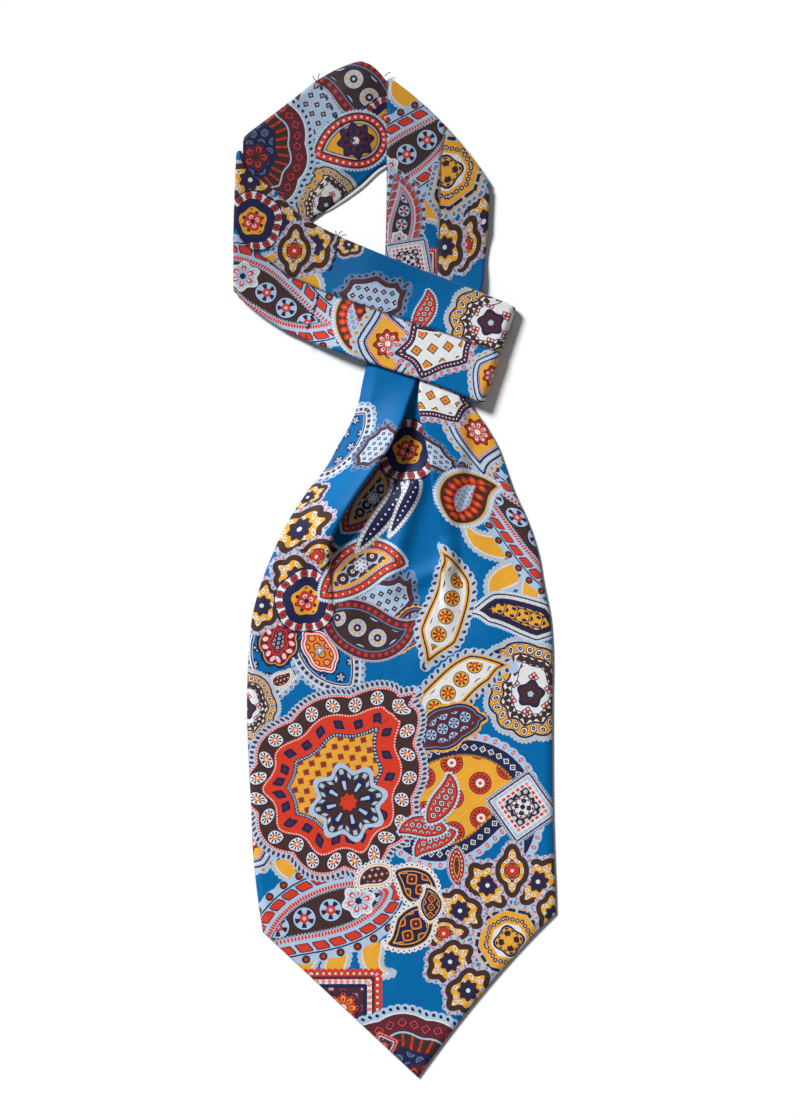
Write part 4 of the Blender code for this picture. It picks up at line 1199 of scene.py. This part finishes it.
# The neckband's painted shade, darker from where it leaves the crossing up: the heights up the cravat
# in metres between which it sets in, and the tone; and how much darker the painted shadow on its
# pleat line is
BAND_SHADE_START, BAND_SHADE_END, BAND_SHADE_TONE = 0.115, 0.15, 0.68
PLEAT_SHADOW_TONE = 0.7

# The gloss: its least roughness, and how much more the threads add
LEAST_ROUGHNESS = 0.36
THREAD_ROUGHNESS = 0.24


def printed_silk():
    """Printed silk twill: the print's colours, a soft gloss and a fine diagonal weave.

    The colour varies a little with the threads and in broad soft patches. Painted shade darkens the
    neckband from where it leaves the crossing up, and a painted shadow darkens its pleat line. The
    twill's ridges and the threads' unevenness are a bump, and the same unevenness varies the gloss.
    """
    material = bpy.data.materials.new("printed silk")
    material.use_nodes = True
    tree = material.node_tree
    shader = tree.nodes["Principled BSDF"]
    dye = Dye(tree)
    turned = dye.node("ShaderNodeMapping", {"Vector": dye.place(), "Rotation": (0, 0, TWILL_ANGLE)})
    ridges = {"Vector": turned.outputs[0], "Scale": TWILL_SCALE, "Distortion": 1.5, "Detail": 1.0}
    twill = dye.node("ShaderNodeTexWave", ridges).outputs["Fac"]
    slubs = dye.node("ShaderNodeMapping", {"Vector": turned.outputs[0], "Scale": THREAD_STRETCH})
    grain = {"Vector": slubs.outputs[0], "Scale": THREAD_SCALE, "Detail": 3.0}
    threads = dye.node("ShaderNodeTexNoise", grain).outputs[0]
    broad = {"Vector": dye.place(), "Scale": PATCH_SCALE, "Detail": 2.0}
    patches = dye.node("ShaderNodeTexNoise", broad).outputs[0]
    shade = EVEN_TONE
    for part, tone in ((threads, THREAD_TONE), (patches, PATCH_TONE), (twill, TWILL_TONE)):
        shade = dye.math("ADD", shade, dye.math("MULTIPLY", part, tone))
    # Painted shade: the neckband is drawn darker from where it leaves the crossing up, by its height in the
    # piece
    up = dye.node("ShaderNodeSeparateXYZ", {0: dye.place()}).outputs[1]
    band_shade_range = {0: up, 1: BAND_SHADE_START, 2: BAND_SHADE_END, 3: 1.0, 4: BAND_SHADE_TONE}
    band = dye.node("ShaderNodeMapRange", band_shade_range, interpolation_type="SMOOTHSTEP").outputs[0]
    shade = dye.math("MULTIPLY", shade, band)
    # Painted shadow: the colour is drawn darker along the strands' pleat line, where the fold's edge shades
    # it
    line = dye.node("ShaderNodeAttribute", {}, attribute_name="pleat_shadow").outputs["Fac"]
    painted_pleat_shadow = dye.math("MULTIPLY", dye.math("POWER", line, 2), PLEAT_SHADOW_TONE)
    shade = dye.math("MULTIPLY", shade, dye.math("SUBTRACT", 1, painted_pleat_shadow))
    grey = dye.node("ShaderNodeCombineXYZ", {0: shade, 1: shade, 2: shade}).outputs[0]
    dyed = dye.node("ShaderNodeVectorMath", {0: silk_print(tree), 1: grey}, operation="MULTIPLY")
    tree.links.new(dyed.outputs[0], shader.inputs["Base Color"])
    relief = dye.math("ADD", dye.math("MULTIPLY", threads, THREAD_RELIEF),
                      dye.math("MULTIPLY", twill, TWILL_RELIEF))
    weave = dye.node("ShaderNodeBump", {"Height": relief, "Strength": 0.35, "Distance": 0.0001})
    tree.links.new(weave.outputs[0], shader.inputs["Normal"])
    rough = dye.math("ADD", dye.math("MULTIPLY", threads, THREAD_ROUGHNESS), LEAST_ROUGHNESS)
    tree.links.new(rough, shader.inputs["Roughness"])
    shader.inputs["Specular IOR Level"].default_value = 0.1
    shader.inputs["Sheen Weight"].default_value = 0.06
    shader.inputs["Sheen Roughness"].default_value = 0.4
    return material


# A hidden layer's points round, the steps of its rounded edge, and its inner rings as shares of the
# least distance from its middle
LAYER_POINTS = 160
LAYER_EDGE_STEPS = 7
LAYER_RINGS = (0.9, 0.4)


def lining_sheet(name, outline, wall):
    """A flat hidden layer: its outline drawn in towards its middle, with a half-round edge.

    Each ring is the outline moved to the middle by a share; the rings go along the underside, round
    the edge and back along the top.
    """
    outline = np.array(outline, dtype=float)
    around = np.linspace(0, len(outline), LAYER_POINTS, endpoint=False)
    index = around.astype(int)
    part = (around - index)[:, None]
    edge = outline[index] * (1 - part) + outline[(index + 1) % len(outline)] * part
    middle = edge.mean(axis=0)
    reach = np.linalg.norm(edge - middle, axis=1)
    bulge = np.linspace(-math.pi / 2, math.pi / 2, LAYER_EDGE_STEPS)
    inner = reach.min() * np.array(LAYER_RINGS)
    insets = np.concatenate([inner, wall / 2 * (1 - np.cos(bulge)), inner[::-1]])
    heights = np.concatenate([[0, 0], wall / 2 * (1 + np.sin(bulge)), [wall, wall]])
    share = 1 - insets[:, None] / reach
    rings = middle + (edge - middle) * share[..., None]
    raised = np.broadcast_to(heights[:, None, None], (*rings.shape[:2], 1))
    points = np.concatenate([rings, raised], axis=-1)
    count = len(edge)
    first = np.arange(count)
    after = (first + 1) % count
    faces = [[int(value) for value in first[::-1]]]
    for ring in range(len(insets) - 1):
        low, high = ring * count, (ring + 1) * count
        faces += np.stack([low + first, low + after, high + after, high + first], axis=-1).tolist()
    faces.append((first + (len(insets) - 1) * count).tolist())
    return new_piece(name, points.reshape(-1, 3), faces)


# The lining that shows: the top strand's rows beside it, its reach beyond the edge and inside it, its
# columns, how blunt its ends are, its height and its wall
STRIP_ROWS = (24, 92)
STRIP_REACH = 1.9
STRIP_INSIDE = 2.0
STRIP_COLUMNS = 10
STRIP_ENDS = 0.4
STRIP_HEIGHT = 0.45
STRIP_WALL = 0.5

# The top strand's column that its edge's direction is taken from
INNER_COLUMN = -8


def lining_strip(grid):
    """The band's lining beside the top strand's inner edge: a narrow shell just under it.

    Each row runs from inside the strand to a little beyond its edge; the reach is a half sine along
    the stretch that shows, to a power that blunts its ends.
    """
    rows = grid[STRIP_ROWS[0]:STRIP_ROWS[1]]
    edge, inside = rows[:, -1, :2], rows[:, INNER_COLUMN, :2]
    out = (edge - inside) / np.linalg.norm(edge - inside, axis=1, keepdims=True)
    reach = STRIP_REACH * np.sin(np.linspace(0, math.pi, len(rows))) ** STRIP_ENDS
    place = np.linspace(-STRIP_INSIDE, 1.0, STRIP_COLUMNS)
    share = np.where(place < 0, place[None], place[None] * reach[:, None])
    points = edge[:, None] + out[:, None] * share[..., None]
    heights = np.full((*points.shape[:2], 1), STRIP_HEIGHT)
    return silk_shell("top_strand_lining", np.concatenate([points, heights], axis=-1), STRIP_WALL,
                      every(len(rows), 4), every(STRIP_COLUMNS, 3))


# The lining's threads to a metre, its grain, and its darkest and palest tone
LINING_WEAVE = 700.0
LINING_GRAIN = 900.0
LINING_DARK = (0.62, 0.62, 0.6, 1)
LINING_PALE = (0.82, 0.82, 0.8, 1)


def lining_cloth():
    """Pale lining: a plain weave of fine threads, each way a wave, with uneven threads."""
    material = bpy.data.materials.new("pale lining")
    material.use_nodes = True
    tree = material.node_tree
    shader = tree.nodes["Principled BSDF"]
    dye = Dye(tree)
    threads = {"Vector": dye.place(), "Scale": LINING_WEAVE, "Distortion": 1.0}
    weave = dye.math("ADD", *[dye.node("ShaderNodeTexWave", threads, bands_direction=way).outputs["Fac"]
                              for way in ("X", "Y")])
    grain = dye.node("ShaderNodeTexNoise", {"Vector": dye.place(), "Scale": LINING_GRAIN}).outputs[0]
    tree.links.new(dye.blend(grain, LINING_DARK, LINING_PALE), shader.inputs["Base Color"])
    bump = dye.node("ShaderNodeBump", {"Height": weave, "Strength": 0.5, "Distance": 0.0001})
    tree.links.new(bump.outputs[0], shader.inputs["Normal"])
    shader.inputs["Roughness"].default_value = 0.8
    return material


# A thread's sides, and the least value under the fourth root that draws its ends in
THREAD_SIDES = 8
THREAD_TIP = 0.02


def thread_mesh(name, runs, radius):
    """Sewing threads: a round tube along each run of points, its ends drawn in to a point.

    Each ring is a circle across the run's direction; its radius is the thread's times the fourth
    root of 1 less the eighth power of the distance from the run's middle.
    """
    points, faces = [], []
    sides = np.linspace(0, 2 * math.pi, THREAD_SIDES, endpoint=False)
    for run in runs:
        share = np.linspace(-1, 1, len(run))
        along = np.gradient(run, axis=0)
        along /= np.linalg.norm(along, axis=1, keepdims=True)
        across = np.cross(along, [0, 0, 1])
        across /= np.linalg.norm(across, axis=1, keepdims=True)
        upward = np.cross(across, along)
        reach = radius * np.maximum(1 - share**8, THREAD_TIP)[:, None, None] ** 0.25
        circle = across[:, None] * np.cos(sides)[:, None] + upward[:, None] * np.sin(sides)[:, None]
        first = sum(len(part) for part in points)
        points.append((run[:, None] + circle * reach).reshape(-1, 3))
        ring = first + np.arange(len(run) * THREAD_SIDES).reshape(-1, THREAD_SIDES)
        after = np.roll(ring, -1, axis=1)
        faces += np.stack([ring[:-1], after[:-1], after[1:], ring[1:]], axis=-1).reshape(-1, 4).tolist()
        faces += [ring[0, ::-1].tolist(), ring[-1].tolist()]
    piece = new_piece(name, np.concatenate(points), faces)
    return piece


# How much farther than the nearest grid point still counts as close by
CLOTH_NEAR = 1.2


def on_cloth(grid, wall, places):
    """Points on the cloth's upper side at places in the frame: the highest grid point close by."""
    laid = (np.array(places, dtype=float) - PHOTO_MIDDLE) * (PIXEL, -PIXEL)
    flat = grid.reshape(-1, 3)
    reach = np.linalg.norm(laid[:, None] - flat[None, :, :2], axis=-1)
    close = reach < CLOTH_NEAR + reach.min(axis=1, keepdims=True)
    height = np.where(close, flat[:, 2], -np.inf).max(axis=1)
    return np.concatenate([laid, (height + wall / 2)[:, None]], axis=1)


# A running thread's gap to the next one, a cross's lean and reach, how far threads rise and how deep
# their ends go in, a cross's extra rise for each millimetre of lean, and the points of a thread
STITCH_GAP = 0.5
CROSS_LEAN, CROSS_REACH = 0.9, 1.1
STITCH_RISE, STITCH_DEPTH = 0.32, 0.1
CROSS_RISE = 0.12
STITCH_POINTS = 13


def stitch_row(grid, wall, corners):
    """A row of cross stitches along a line of places: a running thread with a small cross on it.

    Each thread is an arch: it leaves the cloth, rises by half a sine and goes in again.
    """
    line = on_cloth(grid, wall, corners)
    runs = []
    for start, end in zip(line[:-1], line[1:]):
        reach = np.linalg.norm(end - start)
        count = max(round(reach / STITCH_PITCH), 1)
        ahead = (end - start) / reach
        side = np.array([-ahead[1], ahead[0], 0])
        for index in range(count):
            middle = start + (end - start) * (index + 0.5) / count
            for lean, long in ((0.0, STITCH_PITCH / 2 - STITCH_GAP), (CROSS_LEAN, CROSS_REACH),
                               (-CROSS_LEAN, CROSS_REACH)):
                share = np.linspace(-1, 1, STITCH_POINTS)[:, None]
                run = middle + share * (ahead * long + side * lean)
                run[:, 2] += STITCH_RISE * np.cos(share[:, 0] * math.pi / 2)
                run[:, 2] += CROSS_RISE * abs(lean) - STITCH_DEPTH
                runs.append(run)
    return runs


# A loose end's points, and how far it bows as a share of its length
END_POINTS = 15
END_BOW = 0.16


def loose_end(grid, wall, start, end, rise):
    """A loose thread end: from one place to another, bowed sideways, rising by a quarter sine."""
    first, last = on_cloth(grid, wall, [start, end])
    last[2] = first[2]
    share = np.linspace(0, 1, END_POINTS)[:, None]
    run = first + (last - first) * share
    side = np.array([first[1] - last[1], last[0] - first[0], 0]) * END_BOW
    run += side * np.sin(share * math.pi)
    run[:, 2] += rise * np.sin(share[:, 0] * math.pi / 2)
    return run


STITCH_PITCH = 5.2
THREAD_RADIUS = 0.2
TOP_SEAM = [(318, 82), (329, 103), (338, 121), (350, 137), (360, 150)]
CROSS_SEAM = [(338, 240), (335, 256), (329, 272)]
CROSS_SEAM_LOWER = [(319, 290), (316, 304), (311, 320), (306, 333)]
TOP_ENDS = [((318, 82), (313, 76), 1.2), ((319, 82), (320, 74), 0.8), ((385, 77), (391, 73), 0.8)]
CROSS_ENDS = [((338, 238), (343, 232), 1.2), ((339, 239), (347, 236), 0.6), ((306, 334), (303, 342), 0.5),
              ((340, 239), (336, 231), 0.9)]


def silk_thread():
    """Dark twisted silk thread, with a soft gloss."""
    material = bpy.data.materials.new("silk thread")
    material.use_nodes = True
    shader = material.node_tree.nodes["Principled BSDF"]
    shader.inputs["Base Color"].default_value = screen_colour("navy")
    shader.inputs["Roughness"].default_value = 0.45
    return material


# The rows of each stretch's grid and the columns of a band's, the rows that a fold takes, the steps of
# an underside, and the columns beside a strand's pleat line
BLADE_ROWS = 380
TOP_ROWS, TOP_COLUMNS = 130, 48
RISER_ROWS, CROSS_ROWS = 120, 150
BAND_COLUMNS = 60
FOLD_ROWS = FOLD_STEPS + 4
UNDER_STEP = 6
PLEAT_COLUMNS = (BAND_COLUMNS // 2 - 1, BAND_COLUMNS // 2)


def strand(name, table, count, far_fold):
    """A pleated strand's shell, folded under at its first end and, where asked, at its far end."""
    grid = band_grid(table, count, BAND_COLUMNS)
    cloth = grid[..., :2].copy()
    across = grid[:, -1, :2] - grid[:, 0, :2]
    across /= np.linalg.norm(across, axis=1, keepdims=True)
    cloth[:, BAND_COLUMNS // 2:] += across[:, None] * PLEAT_CLOTH
    grid, cloth = fold_under(grid, cloth)
    ends = [*range(0, FOLD_ROWS, 2)]
    if far_fold:
        grid, cloth = fold_under(grid[::-1], cloth[::-1])
        grid, cloth = grid[::-1], cloth[::-1]
        ends += [*range(len(grid) - FOLD_ROWS, len(grid), 2)]
    piece = silk_shell(name, grid, BAND_WALL, every(len(grid), UNDER_STEP, ends),
                       every(BAND_COLUMNS, UNDER_STEP, PLEAT_COLUMNS))
    # Painted shadow: marks the two columns beside the pleat line, which the silk draws darker
    pleat_shadow = np.zeros(len(piece.data.vertices))
    pleat_shadow[:grid.size // 3].reshape(len(grid), BAND_COLUMNS)[:, PLEAT_COLUMNS] = 1
    piece.data.attributes.new("pleat_shadow", "FLOAT", "POINT").data.foreach_set("value", pleat_shadow)
    return piece, grid, cloth


def build_blade():
    """The front blade, with its print."""
    grid, cloth, folds = blade_grid(BLADE_ROWS)
    blade = silk_shell("front_blade_silk", grid, BLADE_WALL, every(grid.shape[0], UNDER_STEP),
                       every(grid.shape[1], UNDER_STEP, folds))
    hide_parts("front_blade")
    lay_print(blade, grid, cloth, BLADE_MOTIFS)
    return blade


def build_top(thread):
    """The top strand with its print, its stitches and the lining beside it."""
    grid = top_grid(TOP_ROWS, TOP_COLUMNS)
    top = silk_shell("top_strand_silk", grid, BAND_WALL, every(TOP_ROWS, UNDER_STEP),
                     every(TOP_COLUMNS, UNDER_STEP))
    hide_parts("top_strand")
    lay_print(top, grid, grid[..., :2], TOP_MOTIFS)
    runs = stitch_row(grid, BAND_WALL, TOP_SEAM)
    runs += [loose_end(grid, BAND_WALL, *end) for end in TOP_ENDS]
    stitches = thread_mesh("top_strand_stitches", runs, THREAD_RADIUS)
    stitches.data.materials.append(thread)
    strip = lining_strip(grid)
    strip.data.materials.append(lining_cloth())
    return top, stitches, strip


def build_riser():
    """The riser strand, with its print."""
    riser, grid, cloth = strand("riser_strand_silk", RISER_STRAND, RISER_ROWS, False)
    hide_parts("riser_strand")
    lay_print(riser, grid, cloth, RISER_MOTIFS)
    return riser


def build_cross(thread):
    """The cross strand, with its print and its stitches."""
    cross, grid, cloth = strand("cross_strand_silk", CROSS_STRAND, CROSS_ROWS, True)
    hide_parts("cross_strand")
    lay_print(cross, grid, cloth, CROSS_MOTIFS)
    runs = stitch_row(grid, BAND_WALL, CROSS_SEAM) + stitch_row(grid, BAND_WALL, CROSS_SEAM_LOWER)
    runs += [loose_end(grid, BAND_WALL, *end) for end in CROSS_ENDS]
    stitches = thread_mesh("cross_strand_stitches", runs, THREAD_RADIUS)
    stitches.data.materials.append(thread)
    return cross, stitches


def build_cravat():
    """All of the cravat's pieces and their silk."""
    silk = printed_silk()
    thread = silk_thread()
    blade = build_blade()
    top, top_stitches, strip = build_top(thread)
    riser = build_riser()
    cross, cross_stitches = build_cross(thread)
    rear = lining_sheet("rear_blade_silk", REAR_BLADE, REAR_WALL)
    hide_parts("rear_blade")
    turn = lining_sheet("band_turn_silk", BAND_TURN, BAND_WALL)
    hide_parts("band_turn")
    for piece in (blade, top, riser, cross, rear, turn):
        piece.data.materials.append(silk)


# The stage in metres: the floor's width, how far it lies under the cloth, and how far a camera sees
FLOOR_WIDTH = 40.0
FLOOR_DEPTH = 0.0002
FARTHEST_SEEN = 60.0
FLOOR_TONE = (0.985, 0.985, 0.985, 1)

# The light: where the key light comes from, its strength and its softness, and the surround's strength
KEY_FROM = (-1.0, 1.0, 1.15)
KEY_STRENGTH = 4.35
KEY_SOFTNESS = 0.26
SURROUND_STRENGTH = 0.15


def camera():
    """The camera: straight above, its frame that of the photograph."""
    data = bpy.data.cameras.new("camera")
    data.sensor_fit = "VERTICAL"
    data.sensor_height = SENSOR
    data.lens = SENSOR * CAMERA_HEIGHT / (PHOTO_HEIGHT * PIXEL)
    data.clip_end = FARTHEST_SEEN
    viewer = bpy.data.objects.new("camera", data)
    bpy.context.scene.collection.objects.link(viewer)
    across = (PHOTO_WIDTH / 2 - PHOTO_MIDDLE[0]) * PIXEL * MM
    up = (PHOTO_MIDDLE[1] - PHOTO_HEIGHT / 2) * PIXEL * MM
    viewer.location = (across, up, CAMERA_HEIGHT * MM)
    bpy.context.scene.camera = viewer


def key_light():
    """A far soft lamp whose light falls the same everywhere, from the upper left."""
    data = bpy.data.lights.new("key", "SUN")
    data.energy = KEY_STRENGTH
    data.angle = KEY_SOFTNESS
    lamp = bpy.data.objects.new("key", data)
    bpy.context.scene.collection.objects.link(lamp)
    lamp.location = KEY_FROM
    x, y, z = KEY_FROM
    lamp.rotation_euler = (math.atan2(math.hypot(x, y), z), 0, math.atan2(y, x) + math.pi / 2)


def studio():
    """A plain pale floor and an even pale surround."""
    bpy.ops.mesh.primitive_plane_add(size=FLOOR_WIDTH, location=(0, 0, -FLOOR_DEPTH))
    floor = bpy.context.object
    floor.name = "floor"
    paper = bpy.data.materials.new("pale floor")
    paper.use_nodes = True
    shader = paper.node_tree.nodes["Principled BSDF"]
    shader.inputs["Base Color"].default_value = FLOOR_TONE
    shader.inputs["Roughness"].default_value = 0.9
    floor.data.materials.append(paper)
    world = bpy.data.worlds.new("surround")
    world.use_nodes = True
    sky = world.node_tree.nodes["Background"].inputs
    sky["Color"].default_value = (1, 1, 1, 1)
    sky["Strength"].default_value = SURROUND_STRENGTH
    bpy.context.scene.world = world


camera()
studio()
key_light()
build_cravat()
bpy.context.scene.view_settings.view_transform = "Standard"
